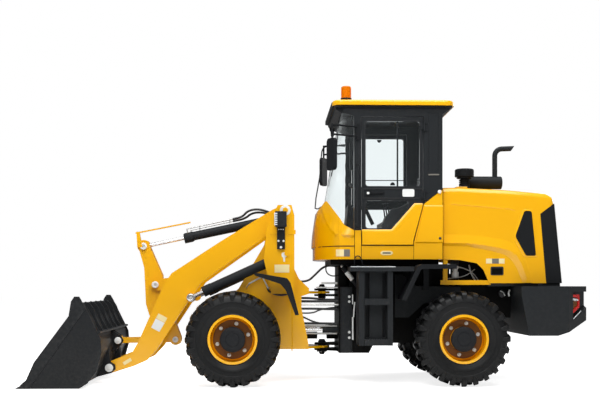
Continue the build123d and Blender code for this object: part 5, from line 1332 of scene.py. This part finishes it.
@dataclass
class Cab:
    """Pressed facets, seams, plates, wiper, rails and inner fittings of the cab."""

    face: float = 0.680
    arc_centre: float = 1.0107
    arc_radius: float = 0.9537

    def nose_y(self, x: float, out: float = 0.0) -> float:
        """How far the nose stands from the middle.

        Args:
            x: the place along the machine.
            out: how far outside its surface.

        Returns:
            The distance from the middle.
        """
        if x >= 0.342:
            return self.face + out
        return math.sqrt(max((self.arc_radius + out) ** 2 - (self.arc_centre - x) ** 2, 0.0))

    def brow(self) -> None:
        """The bright facet under the front corner of the glass."""
        upper = ((0.190, 2.066), (0.212, 2.064), (0.270, 1.976), (0.335, 1.880), (0.398, 1.786),
                 (0.450, 1.757),
                 (0.506, 1.727))
        crest = ((0.150, 2.010), (0.172, 1.945), (0.205, 1.850), (0.245, 1.765), (0.300, 1.690),
                 (0.400, 1.678),
                 (0.506, 1.676))
        for side, label in SIDES:
            rings = []
            for (ux, uz), (cx, cz) in zip(upper, crest):
                swell = 0.020 if (ux, uz) != upper[0] else 0.004
                rings.append([(ux, side * (self.nose_y(ux) - 0.010), uz),
                              (ux, side * (self.nose_y(ux) + 0.0015), uz),
                              (cx, side * (self.nose_y(cx) + swell), cz),
                              (cx - 0.004, side * (self.nose_y(cx) + 0.0005), cz - 0.030),
                              (cx, side * (self.nose_y(cx) - 0.012), cz - 0.026)])
            Shape(f"nose_facet_{label}").loft(rings).finish(Look.YELLOW, "rear_frame", 0.002, smooth=25)

    def rear_corner(self) -> None:
        """The pressed panel behind each door, and the raised lines and strip on the pillar above it."""
        for side, label in SIDES:
            y = self.face
            back = ((1.190, 1.585), (1.500, 1.585), (1.500, 2.012), (1.296, 2.012))
            front = ((1.196, 1.600), (1.500, 1.600), (1.500, 1.986), (1.290, 1.986))
            panel = Shape(f"cab_corner_{label}").slab(back, front, side * (y - 0.002), side * (y + 0.013))
            panel.finish(Look.YELLOW, "rear_frame", 0.002)
            ribs = Shape(f"pillar_panel_{label}")
            for outline in (((1.336, 2.420), (1.341, 2.420), (1.341, 3.045), (1.336, 3.045)),
                            ((1.448, 2.420), (1.453, 2.420), (1.453, 3.045), (1.448, 3.045)),
                            ((1.336, 3.040), (1.453, 3.040), (1.453, 3.045), (1.336, 3.045))):
                ribs.prism(outline, side * (y - 0.002), side * (y + 0.004))
            ribs.finish(Look.BLACK, "rear_frame", 0.001)
            strip = Shape(f"pillar_strip_{label}")
            strip.prism(((1.338, 2.344), (1.458, 2.346), (1.458, 2.361), (1.338, 2.359)), side * (y - 0.001),
                        side * (y + 0.005))
            strip.finish(Look.GREY, "rear_frame", 0.001)

    def seams(self) -> None:
        """Near-black strips, painted shade for the gaps between the panels, and a dark brown strip, painted
        shade for the long seam round the nose.
        """
        for side, label in SIDES:
            y = self.face
            # Near-black strips standing proud of the panels: painted shade for the gaps round the door.
            gaps = Shape(f"cab_seams_{label}")
            for x0, z0, x1, z1, width in ((0.511, 1.408, 0.511, 1.728, 0.006),
                                          (0.587, 1.408, 0.587, 1.742, 0.006),
                                          (1.174, 1.408, 1.174, 1.600, 0.005),
                                          (0.590, 1.559, 1.174, 1.559, 0.006),
                                          (1.174, 1.600, 1.284, 2.020, 0.005)):
                way = Vector((x1 - x0, z1 - z0)).normalized() * width / 2
                across = (-way.y, way.x)
                corners = ((x0 - across[0], z0 - across[1]), (x1 - across[0], z1 - across[1]),
                           (x1 + across[0], z1 + across[1]), (x0 + across[0], z0 + across[1]))
                gaps.prism(corners, side * (y - 0.003), side * (y + 0.0012))
            gaps.finish(Look.DEEP, "rear_frame", 0)
            # The seam round the nose is a dark brown strip: painted shade in the seam.
            low = Shape(f"nose_seam_{label}")
            xs = (0.064, 0.09, 0.13, 0.18, 0.24, 0.30, 0.342, 0.42, 0.508)
            low.loft([[(x, side * (self.nose_y(x) - 0.006), 1.548),
                       (x, side * (self.nose_y(x) + 0.0035), 1.547),
                       (x, side * (self.nose_y(x) + 0.0035), 1.558),
                       (x, side * (self.nose_y(x) - 0.006), 1.557)]
                      for x in xs])
            low.finish(Look.BROWN_AND_PAINTED_SHADE, "rear_frame", 0)

    def plates(self) -> None:
        """Blank plates, knobs and the hoop by the sill."""
        for side, label in SIDES:
            for name, stations, look in (("warm", (0.306, 0.318, 0.330, 0.342, 0.392), Look.CREAM),
                                         ("grey", (0.392, 0.458), Look.GREY)):
                plate = Shape(f"nose_plate_{name}_{label}")
                rings = []
                for x in stations:
                    near, far = self.nose_y(x) - 0.002, self.nose_y(x) + 0.005
                    rings.append([(x, side * near, 1.437), (x, side * far, 1.437), (x, side * far, 1.515),
                                  (x, side * near, 1.515)])
                plate.loft(rings).finish(look, "rear_frame", 0)
            knobs = Shape(f"cab_knob_{label}")
            knobs.turned((1.462, side * 0.690, 2.160), (0, side, 0),
                         ((-0.012, 0.0), (-0.012, 0.020), (0.004, 0.022),
                                                                     (0.014, 0.017), (0.017, 0.0)), 20)
            knobs.finish(Look.WHITE, "rear_frame", 0)
            plug = Shape(f"cab_plug_{label}")
            plug.turned((1.468, side * 0.692, 1.640), (0, side, 0),
                        ((-0.004, 0.0), (-0.004, 0.015), (0.004, 0.015),
                                                                    (0.006, 0.011), (0.003, 0.0)), 20)
            plug.finish(Look.HOSE_AND_SHADE, "rear_frame", 0)
            hoop = Shape(f"sill_hoop_{label}")
            hoop.bar(((0.508, side * 0.700, 1.345), (0.508, side * 0.700, 1.415),
                      (0.530, side * 0.700, 1.441),
                      (0.562, side * 0.700, 1.441), (0.584, side * 0.700, 1.415),
                      (0.600, side * 0.700, 1.345)), 0.006, 2)
            hoop.finish(Look.CAST, "rear_frame", 0)

    def rails(self) -> None:
        """Feet of the grab rails, the far mirror's hoop and the lamp under the front of the roof."""
        for side, label in SIDES:
            feet = Shape(f"rail_feet_{label}")
            for z in (1.756, 2.446):
                foot = ((-0.010, 0.0), (-0.010, 0.018), (0.010, 0.018), (0.014, 0.012), (0.014, 0.0))
                feet.turned((0.535, side * 0.765, z), (0, 0, 1 if z > 2 else -1), foot, 20)
            feet.finish(Look.PLASTIC, "rear_frame", 0.001)
        loop = Shape("far_mirror_loop")
        loop.bar(((0.50, 0.72, 2.866), (0.34, 0.86, 2.90), (0.245, 0.88, 2.868), (0.222, 0.88, 2.80),
                  (0.218, 0.88, 2.589), (0.128, 0.80, 2.095), (0.168, 0.74, 2.072), (0.205, 0.60, 2.090)),
                  0.008, 1)
        loop.finish(Look.HOSE_AND_SHADE, "rear_frame", 0)
        lamp = Shape("front_lamp_body")
        lamp.turned((0.345, 0.60, 3.045), (0, 0, 1),
                    ((-0.075, 0.0), (-0.075, 0.020), (-0.02, 0.024), (0.0, 0.036),
                                                     (0.060, 0.040), (0.066, 0.034), (0.066, 0.0)), 28)
        lamp.finish(Look.PLASTIC, "rear_frame", 0)
        lens = ((0.064, 0.0), (0.064, 0.036), (0.070, 0.040), (0.082, 0.040), (0.086, 0.034), (0.086, 0.0))
        Shape("front_lamp_lens").turned((0.345, 0.60, 3.04), (0, 0, 1), lens, 28).finish(Look.AMBER,
                                                                                         "rear_frame", 0)

    def roof_fittings(self) -> None:
        """The lifting eye, the dark trim across the roof's front, and the beacon's base and ribs."""
        eye = Shape("roof_eye").bar(((0.626, 0.0, 3.176), (0.626, 0.0, 3.205), (0.636, 0.0, 3.216),
                                     (0.652, 0.0, 3.216), (0.660, 0.0, 3.205), (0.660, 0.0, 3.176)), 0.006, 1)
        eye.finish(Look.BROWN_AND_PAINTED_SHADE, "rear_frame", 0)
        trim = Shape("roof_front_trim")
        trim.prism(((0.270, -0.640), (0.259, -0.600), (0.259, 0.660), (0.280, 0.690), (0.300, 0.690),
                    (0.290, -0.640)),
                   3.1195, 3.1660, "Z")
        trim.finish(Look.PLASTIC, "rear_frame", 0.002)
        low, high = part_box("beacon")
        x, y = (low.x + high.x) / 2, (low.y + high.y) / 2
        base = ((0.0, 0.0), (0.0, 0.0605), (0.012, 0.0625), (0.040, 0.0610), (0.048, 0.0560), (0.048, 0.0))
        Shape("beacon_base").turned((x, y, low.z), (0, 0, 1), base, 40).finish(Look.PLASTIC, "rear_frame", 0)
        rib = Shape("beacon_rib").box((0.0525, -0.0022, 0.056), (0.0565, 0.0022, 0.155))
        ribs = repeated(rib.to_object(), Repeat.ROUND, 24, (0, 0, math.pi / 12), Look.AMBER, (x, y, low.z))
        dress(ribs, Look.AMBER, "rear_frame")

    def glass_line(self) -> None:
        """The wiper with its arm, and the inner mirror on its rod."""
        wiper = Shape("wiper")
        wiper.bar(((0.372, -0.36, 3.055), (0.350, -0.40, 2.96), (0.322, -0.50, 2.66), (0.315, -0.51, 2.60)),
                  0.006, 1)
        wiper.bar(((0.335, -0.45, 2.78), (0.270, -0.40, 2.36)), 0.006)
        wiper.finish(Look.HOSE_AND_SHADE, "rear_frame", 0)
        mirror = Shape("inner_mirror").box((0.470, -0.520, 2.420), (0.520, -0.470, 2.725))
        mirror.bar(((0.500, -0.495, 2.70), (0.500, -0.495, 3.10)), 0.008)
        mirror.finish(Look.PLASTIC, "rear_frame", 0.010)

    def inside(self) -> None:
        """The steering wheel on its column, the levers and the box that they stand in."""
        wheel = Shape("steering_wheel")
        tilt = Vector((-0.42, 0.0, 0.90)).normalized()
        centre = Vector((0.660, 0.0, 2.105))
        rim = [(0.0, 0.19), (0.010, 0.183), (0.016, 0.190), (0.010, 0.202), (0.0, 0.205), (-0.010, 0.200),
               (-0.012, 0.188)]
        wheel.turned(centre, tilt, rim, 48, True)
        wheel.turned(centre - tilt * 0.03, tilt, ((0.0, 0.0), (0.0, 0.05), (0.025, 0.042), (0.03, 0.0)), 24)
        across = Vector((0, 1, 0))
        along = tilt.cross(across).normalized()
        for turn in (math.pi / 2, math.pi * 7 / 6, math.pi * 11 / 6):
            way = along * math.cos(turn) + across * math.sin(turn)
            wheel.bar((centre - tilt * 0.012 + way * 0.03, centre + way * 0.195), 0.010)
        wheel.bar((centre - tilt * 0.02, centre - tilt * 0.30), 0.022)
        wheel.finish(Look.PLASTIC, "rear_frame", 0, smooth=50)
        levers = Shape("levers")
        for i, y in enumerate((-0.34, -0.39, -0.44)):
            levers.bar(((0.90 + 0.02 * i, y, 1.78), (0.885 + 0.02 * i, y, 1.94), (0.87 + 0.02 * i, y, 2.02)),
                       0.008, 1)
            levers.turned((0.868 + 0.02 * i, y, 2.03), (0, 0, 1), ((-0.02, 0.0), (-0.02, 0.012), (0.0, 0.020),
                                                                  (0.018, 0.016), (0.024, 0.0)), 16)
        levers.finish(Look.PLASTIC, "rear_frame", 0, smooth=50)
        rest = Shape("lever_box")
        rest.prism(((0.835, 1.62), (1.22, 1.62), (1.22, 2.03), (1.15, 2.06), (1.02, 1.99), (0.95, 1.985),
                    (0.915, 1.93), (0.885, 1.90), (0.862, 1.84), (0.835, 1.80)), -0.48, -0.30)
        rest.finish(Look.SEAT, "rear_frame", 0.012)

    def build(self) -> None:
        """Makes all of it."""
        for side, label in SIDES:
            Door(side, f"door_{label}").build()
        self.brow()
        self.rear_corner()
        self.seams()
        self.plates()
        self.rails()
        self.roof_fittings()
        self.glass_line()
        self.inside()


# ------------------------------------------------------------------ hood and rear
@dataclass
class Hood:
    """Folds, plates, caps, vents and slats of the hood."""

    face: float = 0.600

    def folds(self) -> None:
        """The long fold over the wheel arch and the thin one below the top edge."""
        crest = ((1.522, 1.591), (1.770, 1.590), (1.986, 1.564), (2.150, 1.535), (2.261, 1.506),
                 (2.345, 1.455),
                 (2.405, 1.347), (2.479, 1.143))
        upper = ((1.522, 1.690), (1.770, 1.688), (2.000, 1.668), (2.180, 1.640), (2.310, 1.590),
                 (2.395, 1.502),
                 (2.455, 1.380), (2.530, 1.143))
        foot = ((1.522, 1.560), (1.770, 1.556), (1.978, 1.522), (2.130, 1.486), (2.225, 1.452),
                (2.290, 1.405),
                (2.350, 1.320), (2.420, 1.143))
        for side, label in SIDES:
            fold = Shape(f"hood_fold_{label}").ridge(upper, crest, foot, side * self.face, 0.022)
            fold.finish(Look.YELLOW, "rear_frame", 0.0015, smooth=24)
            line = ((1.611, 2.031), (1.914, 2.008), (2.145, 1.988), (2.261, 1.980), (2.326, 1.962))
            thin = Shape(f"hood_line_{label}")
            thin.ridge([(x, z + 0.030) for x, z in line], line, [(x, z - 0.007) for x, z in line],
                       side * self.face, 0.0035)
            thin.finish(Look.YELLOW, "rear_frame", 0, smooth=24)
            # A near-black strip: painted shade for the gap between cab and hood.
            gap = Shape(f"hood_seam_{label}").prism(((1.505, 1.415), (1.513, 1.415), (1.513, 2.155),
                                                     (1.505, 2.155)),
                                                    side * 0.590, side * 0.6015)
            gap.finish(Look.DEEP, "rear_frame", 0)

    def vents(self) -> None:
        """A rounded lip round each side vent, and slats on the rear grille."""
        outline = ((2.441, 1.958), (2.524, 1.952), (2.574, 1.448), (2.458, 1.448), (2.336, 1.668))
        middle = (2.467, 1.70)
        for side, label in SIDES:
            rings = []
            for grow, level in ((0.000, 0.590), (0.000, 0.6035), (0.013, 0.6035), (0.019, 0.5995),
                                (0.019, 0.590)):
                rings.append([(x + math.copysign(grow, x - middle[0]), side * level,
                               z + math.copysign(grow, z - middle[1]))
                              for x, z in rounded(outline, 0.014)])
            Shape(f"vent_lip_{label}").loft(rings, True).finish(Look.YELLOW, "rear_frame", 0, smooth=50)
        slat = Shape("rear_slats").slab(((-0.012, -0.440), (0.004, -0.440), (0.004, 0.440), (-0.012, 0.440)),
                                        ((-0.012, -0.440), (0.010, -0.440), (0.010, 0.440), (-0.012, 0.440)),
                                        -0.008, 0.008, "Z")
        slats = repeated(slat.to_object(), Repeat.ROW, 17, (-0.00513, 0, 0.050), Look.PLASTIC,
                         (2.874, 0, 1.230))
        dress(bevelled(slats, 0.002), Look.PLASTIC, "rear_frame")

    def plates(self) -> None:
        """The socket panel and the blank plate above it."""
        for side, label in SIDES:
            y = self.face
            panel = Shape(f"socket_panel_{label}")
            panel.prism(rounded(((2.055, 1.228), (2.203, 1.228), (2.203, 1.326), (2.055, 1.326)), 0.010),
                        side * (y - 0.001), side * (y + 0.004))
            panel.finish(Look.HOSE_AND_SHADE, "rear_frame", 0.001)
            lid = Shape(f"socket_lid_{label}")
            lid.prism(((2.070, 1.240), (2.188, 1.240), (2.188, 1.308), (2.070, 1.308)), side * (y + 0.003),
                      side * (y + 0.008))
            lid.finish(Look.DEEP, "rear_frame", 0.002)
            for name, x0, x1, look in (("a", 2.005, 2.072, Look.CREAM), ("b", 2.072, 2.150, Look.GREY),
                                       ("c", 2.150, 2.214, Look.CREAM)):
                plate = Shape(f"hood_plate_{name}_{label}").box(
                    (x0, min(side * (y - 0.001), side * (y + 0.0022)), 1.360),
                    (x1, max(side * (y - 0.001), side * (y + 0.0022)), 1.416))
                plate.finish(look, "rear_frame", 0.0006)

    def top(self) -> None:
        """The filler cap, the raised foot of the air cleaner and its ribs."""
        cap = ((-0.02, 0.0), (-0.02, 0.066), (0.022, 0.064), (0.030, 0.056), (0.031, 0.0))
        Shape("filler_cap").turned((2.430, -0.25, 2.176), (0, 0, 1), cap, 36).finish(Look.YELLOW,
                                                                                     "rear_frame", 0)
        foot = ((1.700, -0.38), (1.850, -0.38), (1.850, -0.18), (1.700, -0.18))
        inner = ((1.712, -0.368), (1.838, -0.368), (1.838, -0.192), (1.712, -0.192))
        Shape("cleaner_foot").slab(foot, inner, 2.195, 2.252, "Z").finish(Look.YELLOW, "rear_frame", 0.006)
        low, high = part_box("air_precleaner")
        x, y = (low.x + high.x) / 2, (low.y + high.y) / 2
        rib = Shape("cleaner_rib").box((0.1085, -0.004, 0.0), (0.1105, 0.004, 0.060))
        ribs = repeated(rib.to_object(), Repeat.ROUND, 20, (0, 0, math.pi / 10), Look.PLASTIC,
                        (x, y, high.z - 0.085))
        dress(bevelled(ribs, 0.001), Look.PLASTIC, "rear_frame")

    def build(self) -> None:
        """Makes all of it."""
        self.folds()
        self.vents()
        self.plates()
        self.top()


@dataclass
class Rear:
    """Lamps, latches, engine parts, fillers and lifting lugs at the back."""

    middle: tuple[float, float] = (3.009, 0.730)

    def corner_frame(self, side: int) -> Matrix:
        """The frame of a back corner: along it, up, and out of it.

        Args:
            side: -1 or 1.

        Returns:
            A matrix from (along, up, out) to the machine.
        """
        back = Vector((0.300, -side * 0.340, 0)).normalized()
        out = Vector((0.340, side * 0.300, 0)).normalized()
        place = Matrix((back, Vector((0, 0, 1)), out)).transposed().to_4x4()
        return Matrix.Translation((self.middle[0], side * self.middle[1], 0)) @ place

    def lamps(self) -> None:
        """The clear bar inside each rear lamp, its housing and a bright lower edge."""
        for side, label in SIDES:
            place = self.corner_frame(side)
            for name, outline, look, start, end in (
                    ("clear", ((-0.104, 0.948), (0.040, 0.940), (0.040, 0.958), (-0.104, 0.972)), Look.LENS,
                     -0.040, -0.012),
                    ("housing", ((-0.106, 0.835), (0.046, 0.880), (0.046, 0.936), (-0.106, 0.944)),
                     Look.BROWN_AND_PAINTED_SHADE, -0.050,
                     -0.030),
                    ("edge", ((-0.112, 0.738), (0.078, 0.818), (0.084, 0.832), (-0.112, 0.748)), Look.LENS,
                     -0.004, 0.0015)):
                shape = Shape(f"rear_lamp_{name}_{label}")
                shape.loft([[place @ Vector((p[0], p[1], level)) for p in outline] for level in (start, end)])
                shape.finish(look, "rear_frame", 0.001)

    def latches(self) -> None:
        """The oval cap and latch on the frame, and a bright filter and pipes by the engine."""
        for side, label in SIDES:
            cap = Shape(f"frame_cap_{label}")
            cap.turned((2.232, side * 0.405, 1.020), (0, side, 0),
                       ((-0.006, 0.0), (-0.006, 0.046), (0.012, 0.044),
                                                                   (0.018, 0.034), (0.018, 0.0)), 28)
            cap.finish(Look.HOSE_AND_SHADE, "rear_frame", 0)
            lever = Shape(f"frame_latch_{label}")
            lever.bar(((2.205, side * 0.427, 1.052), (2.240, side * 0.431, 1.036),
                       (2.262, side * 0.427, 0.995)), 0.006, 1)
            lever.bar(((2.306, side * 0.47, 1.064), (2.290, side * 0.47, 1.03), (2.300, side * 0.47, 0.99)),
                      0.010, 1)
            lever.finish(Look.WHITE, "rear_frame", 0)
            filt = Shape(f"engine_filter_{label}")
            filt.turned((1.700, side * 0.352, 1.205), (0, 0, 1),
                        ((0.0, 0.0), (0.0, 0.040), (0.060, 0.042), (0.066, 0.030),
                                                                 (0.100, 0.030), (0.108, 0.046),
                                                                 (0.125, 0.046),
                                                                 (0.140, 0.020), (0.140, 0.0)), 24)
            filt.finish(Look.WHITE, "rear_frame", 0)
            pipes = Shape(f"engine_pipes_{label}")
            pipes.bar(((1.56, side * 0.36, 1.29), (1.72, side * 0.37, 1.34), (1.90, side * 0.36, 1.27),
                       (1.97, side * 0.36, 1.17)), 0.007, 2)
            pipes.bar(((1.60, side * 0.35, 1.19), (1.80, side * 0.37, 1.21), (1.93, side * 0.36, 1.30)),
                      0.006, 2)
            pipes.bar(((1.86, side * 0.36, 1.35), (1.88, side * 0.38, 1.24), (1.94, side * 0.37, 1.16)),
                      0.010, 2)
            pipes.finish(Look.ZINC, "rear_frame", 0)

    def fillers(self) -> None:
        """The rubber seal under the hood, whose dark band also stands for the shadow line between hood and
        counterweight, and the dark bulk of the gearbox behind the deck.
        """
        # A black rubber seal set back under the hood; its dark band is also painted shade for the shadow line
        # below the hood.
        seal = Shape("hood_seal_and_shadow_line").box((2.030, -0.560, 1.1045), (2.860, 0.560, 1.1405))
        seal.finish(Look.HOSE_AND_SHADE, "rear_frame", 0.003)
        bulk = Shape("harness_bulk").box((1.300, -0.330, 1.110), (1.640, 0.330, 1.344))
        bulk.box((1.400, -0.300, 1.340), (1.520, 0.300, 1.400))
        bulk.finish(Look.DEEP, "rear_frame", 0.010)

    def lugs(self) -> None:
        """Lifting lugs on top of the counterweight."""
        lugs = Shape("weight_lugs")
        for side, _ in SIDES:
            outline = [(2.60 + 0.030 * math.cos(a), 1.104 + 0.034 * math.sin(a))
                       for a in (math.pi * i / 10 for i in range(11))]
            lugs.prism(outline, side * 0.70 - 0.008, side * 0.70 + 0.008)
        lugs.finish(Look.CAST, "rear_frame", 0.002)

    def build(self) -> None:
        """Makes all of it."""
        self.lamps()
        self.latches()
        self.fillers()
        self.lugs()


@dataclass
class Steps:
    """Tread studs of the access steps and the platform's bright edge."""

    def build(self) -> None:
        """Studs on each rung and on the platform, and the bright front edge."""
        stud = ((0.0, 0.0), (0.0, 0.0065), (0.003, 0.0055), (0.004, 0.0))
        treads = (
            # name, studs in a row, first x, pitch, rows, inner row's y, between rows, z
            ("rung_low", 10, 0.62, 0.026, 2, 0.845, 0.05, 0.525),
            ("rung_high", 10, 0.62, 0.026, 2, 0.845, 0.05, 0.968),
            ("platform", 22, 0.47, 0.030, 6, 0.620, 0.06, 1.318),
        )
        for side, label in SIDES:
            for name, count, start, pitch, rows, inner, apart, z in treads:
                studs = []
                for row in range(rows):
                    one = Shape("stud").turned((0, 0, 0), (0, 0, 1), stud, 8).to_object()
                    place = (start, side * (inner + apart * row), z)
                    studs.append(repeated(one, Repeat.ROW, count, (pitch, 0, 0), Look.CAST, place))
                dress(joined(f"studs_{name}_{label}", studs), Look.CAST, "rear_frame")
            edge = Shape(f"platform_edge_{label}")
            edge.bar(((0.444, side * 0.950, 1.3165), (0.935, side * 0.950, 1.3165)), 0.0035, 0, 6)
            edge.finish(Look.LENS, "rear_frame", 0)


@dataclass
class BucketTrim:
    """The bolts of the bucket's cutting edge."""

    bolt_count: int = 9
    bolt_pitch: float = 0.235
    from_edge: float = 0.17
    plate: float = 0.030

    def build(self) -> None:
        """One row of bolts on the cutting edge, even about the middle."""
        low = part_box("bucket")[0]
        first = (low.x + self.from_edge, -self.bolt_pitch * (self.bolt_count - 1) / 2, low.z + self.plate)
        bolt = Shape("edge_bolts").bolt((0, 0, 0), (0, 0, 1), 0.014, 0.010)
        bolts = repeated(bolt.to_object(), Repeat.ROW, self.bolt_count, (0, self.bolt_pitch, 0), Look.ZINC,
                         first)
        dress(bolts, Look.ZINC, "bucket")


# ------------------------------------------------------------------ camera and light
LAMPS = (
    # name, place, aim, side in metres, power in watts
    ("overhead", (0.3, -3.4, 8.6), (0.3, -1.6, 0.0), 9.0, 1120),
    ("key", (-2.0, -8.5, 8.0), (0.0, 0.0, 1.2), 5.0, 290),
    ("rear", (7.0, 5.0, 5.0), (0.0, 0.0, 1.2), 5.0, 230),
)


@dataclass
class Studio:
    """Camera, lamps, world and floor."""

    lens: float = 58.6
    place: tuple[float, float, float] = (-0.430, -11.55, 1.116)
    yaw: float = -1.75
    rise: float = 0.142
    light: float = 0.22
    floor_light: float = 0.80

    def camera(self) -> None:
        """A level camera on the machine's left, a little in front of its middle."""
        data = bpy.data.cameras.new("camera")
        data.lens = self.lens
        data.shift_y = self.rise
        camera = bpy.data.objects.new("camera", data)
        camera.location = self.place
        camera.rotation_euler = (math.radians(90), 0, math.radians(self.yaw))
        bpy.context.scene.collection.objects.link(camera)
        bpy.context.scene.camera = camera

    def lamp(self, name: str, place: Point, aim: Point, size: float, power: float) -> None:
        """One square soft box.

        Args:
            name: its name.
            place: where it hangs.
            aim: the point that it faces.
            size: the length of its side.
            power: in watts.
        """
        data = bpy.data.lights.new(name, "AREA")
        data.size = size
        data.energy = power
        lamp = bpy.data.objects.new(name, data)
        lamp.location = place
        lamp.rotation_euler = (Vector(aim) - Vector(place)).to_track_quat("-Z", "Y").to_euler()
        bpy.context.scene.collection.objects.link(lamp)

    def world(self) -> None:
        """A white surround for the eye and through glass, and a softer one for light."""
        world = bpy.data.worlds.new("surround")
        world.use_nodes = True
        bpy.context.scene.world = world
        net = Net(world.node_tree)
        path = net.add("ShaderNodeLightPath").outputs
        seen = net.math("MAXIMUM", path["Is Camera Ray"], path["Is Transmission Ray"])
        strength = net.span(seen, 0.0, 1.0, self.light, 1.0)
        net.tree.links.new(strength, net.tree.nodes["Background"].inputs["Strength"])
        net.tree.nodes["Background"].inputs["Color"].default_value = (1, 1, 1, 1)

    def floor(self) -> None:
        """A wide pale floor."""
        mesh = bpy.data.meshes.new("floor")
        bm = bmesh.new()
        bmesh.ops.create_grid(bm, x_segments=1, y_segments=1, size=60)
        bm.to_mesh(mesh)
        bm.free()
        floor = to_scene("floor", mesh)
        material = bpy.data.materials.new("pale_floor")
        material.use_nodes = True
        net = Net(material.node_tree)
        surface = net.tree.nodes["Principled BSDF"]
        surface.inputs["Base Color"].default_value = (0.9, 0.9, 0.9, 1)
        surface.inputs["Roughness"].default_value = 0.9
        surface.inputs["Specular IOR Level"].default_value = 0.0
        path = net.add("ShaderNodeLightPath").outputs
        seen = net.math("MAXIMUM", path["Is Camera Ray"], path["Is Transmission Ray"])
        surface.inputs["Emission Color"].default_value = (1, 1, 1, 1)
        net.tree.links.new(net.math("MULTIPLY", seen, self.floor_light), surface.inputs["Emission Strength"])
        floor.data.materials.append(material)

    def build(self) -> None:
        """Sets up the whole studio."""
        self.camera()
        self.world()
        self.floor()
        for name, place, aim, size, power in LAMPS:
            self.lamp(name, place, aim, size, power)
        bpy.context.scene.view_settings.view_transform = "Standard"


# ------------------------------------------------------------------ model nodes
PLAIN_SKINS = (
    # node, finish, body, edge rounding
    ("boom", Look.YELLOW, "boom", 0.003),
    ("bellcrank", Look.YELLOW, "bellcrank", 0.003),
    ("tilt_link", Look.YELLOW, "tilt_link", 0.003),
    ("bucket", Look.BUCKET, "bucket", 0.002),
    ("lift_barrels", Look.BLACK, "lift_barrels", 0.002),
    ("lift_rods", Look.CHROME, "lift_rods", 0.0),
    ("tilt_barrel", Look.BLACK, "tilt_barrel", 0.002),
    ("tilt_rod", Look.CHROME, "tilt_rod", 0.0),
    ("steer_barrel_left", Look.BLACK, "steer_barrel_left", 0.0),
    ("steer_barrel_right", Look.BLACK, "steer_barrel_right", 0.0),
    ("steer_rod_left", Look.CHROME, "steer_rod_left", 0.0),
    ("steer_rod_right", Look.CHROME, "steer_rod_right", 0.0),
    ("front_frame", Look.YELLOW, "front_frame", 0.003),
    ("front_axle", Look.CAST, "front_frame", 0.003),
    ("front_fenders", Look.PLASTIC, "front_frame", 0.004),
    ("headlamps", Look.BLACK, "front_frame", 0.004),
    ("rear_frame", Look.DEEP, "rear_frame", 0.003),
    ("engine_and_gearbox", Look.DEEP, "rear_frame", 0.004),
    ("rear_axle", Look.CAST, "rear_frame", 0.003),
    ("counterweight", Look.BLACK, "rear_frame", 0.008),
    ("tail_lamps", Look.RED, "rear_frame", 0.003),
    ("hood", Look.YELLOW, "rear_frame", 0.004),
    ("grilles", Look.PLASTIC, "rear_frame", 0.003),
    ("exhaust", Look.BLACK, "rear_frame", 0.002),
    ("air_precleaner", Look.PLASTIC, "rear_frame", 0.003),
    ("cab_body", Look.YELLOW, "rear_frame", 0.004),
    ("cab_frame", Look.BLACK, "rear_frame", 0.003),
    ("cab_roof", Look.YELLOW, "rear_frame", 0.003),
    ("windscreen", Look.GLASS, "rear_frame", 0.0),
    ("rear_window", Look.GLASS, "rear_frame", 0.0),
    ("door_left", Look.BLACK, "door_left", 0.003),
    ("door_right", Look.BLACK, "door_right", 0.003),
    ("door_glass_left", Look.GLASS, "door_left", 0.0),
    ("door_glass_right", Look.GLASS, "door_right", 0.0),
    ("seat", Look.SEAT, "rear_frame", 0.02),
    ("steering_console", Look.PLASTIC, "rear_frame", 0.004),
    ("beacon", Look.AMBER, "rear_frame", 0.004),
    ("mirrors", Look.PLASTIC, "rear_frame", 0.004),
    ("access_steps", Look.BLACK, "rear_frame", 0.003),
    ("rear_fenders", Look.PLASTIC, "rear_frame", 0.004),
    ("rim_front_left", Look.YELLOW, "wheel_front_left", 0.002),
    ("rim_front_right", Look.YELLOW, "wheel_front_right", 0.002),
    ("rim_rear_left", Look.YELLOW, "wheel_rear_left", 0.002),
    ("rim_rear_right", Look.YELLOW, "wheel_rear_right", 0.002),
)


def build_wheels() -> None:
    """Dresses the four wheels."""
    for place in ("front_left", "front_right", "rear_left", "rear_right"):
        low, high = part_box(f"tyre_{place}")
        side = -1 if place.endswith("left") else 1
        wheel = Wheel(place, f"wheel_{place}", side, tuple((low + high) / 2))
        wheel.tyre()
        wheel.fittings()


def main() -> None:
    """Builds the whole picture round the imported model."""
    logging.basicConfig(level=logging.INFO, format="%(message)s")
    for block in (bpy.data.objects, bpy.data.meshes, bpy.data.lights, bpy.data.cameras):
        for item in list(block):
            block.remove(item)
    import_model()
    coat, edges = coat_group(), edge_group()
    for look in Look:
        MATERIALS[look] = look.value.make(coat, edges)
    Studio().build()
    for node, look, body, width in PLAIN_SKINS:
        softened(node, look, body, width)
    build_wheels()
    for assembly in (LoaderArms(), Tower(), Articulation(), Cab(), Hood(), Rear(), Steps(), BucketTrim()):
        assembly.build()


if __name__ == "__main__":
    main()
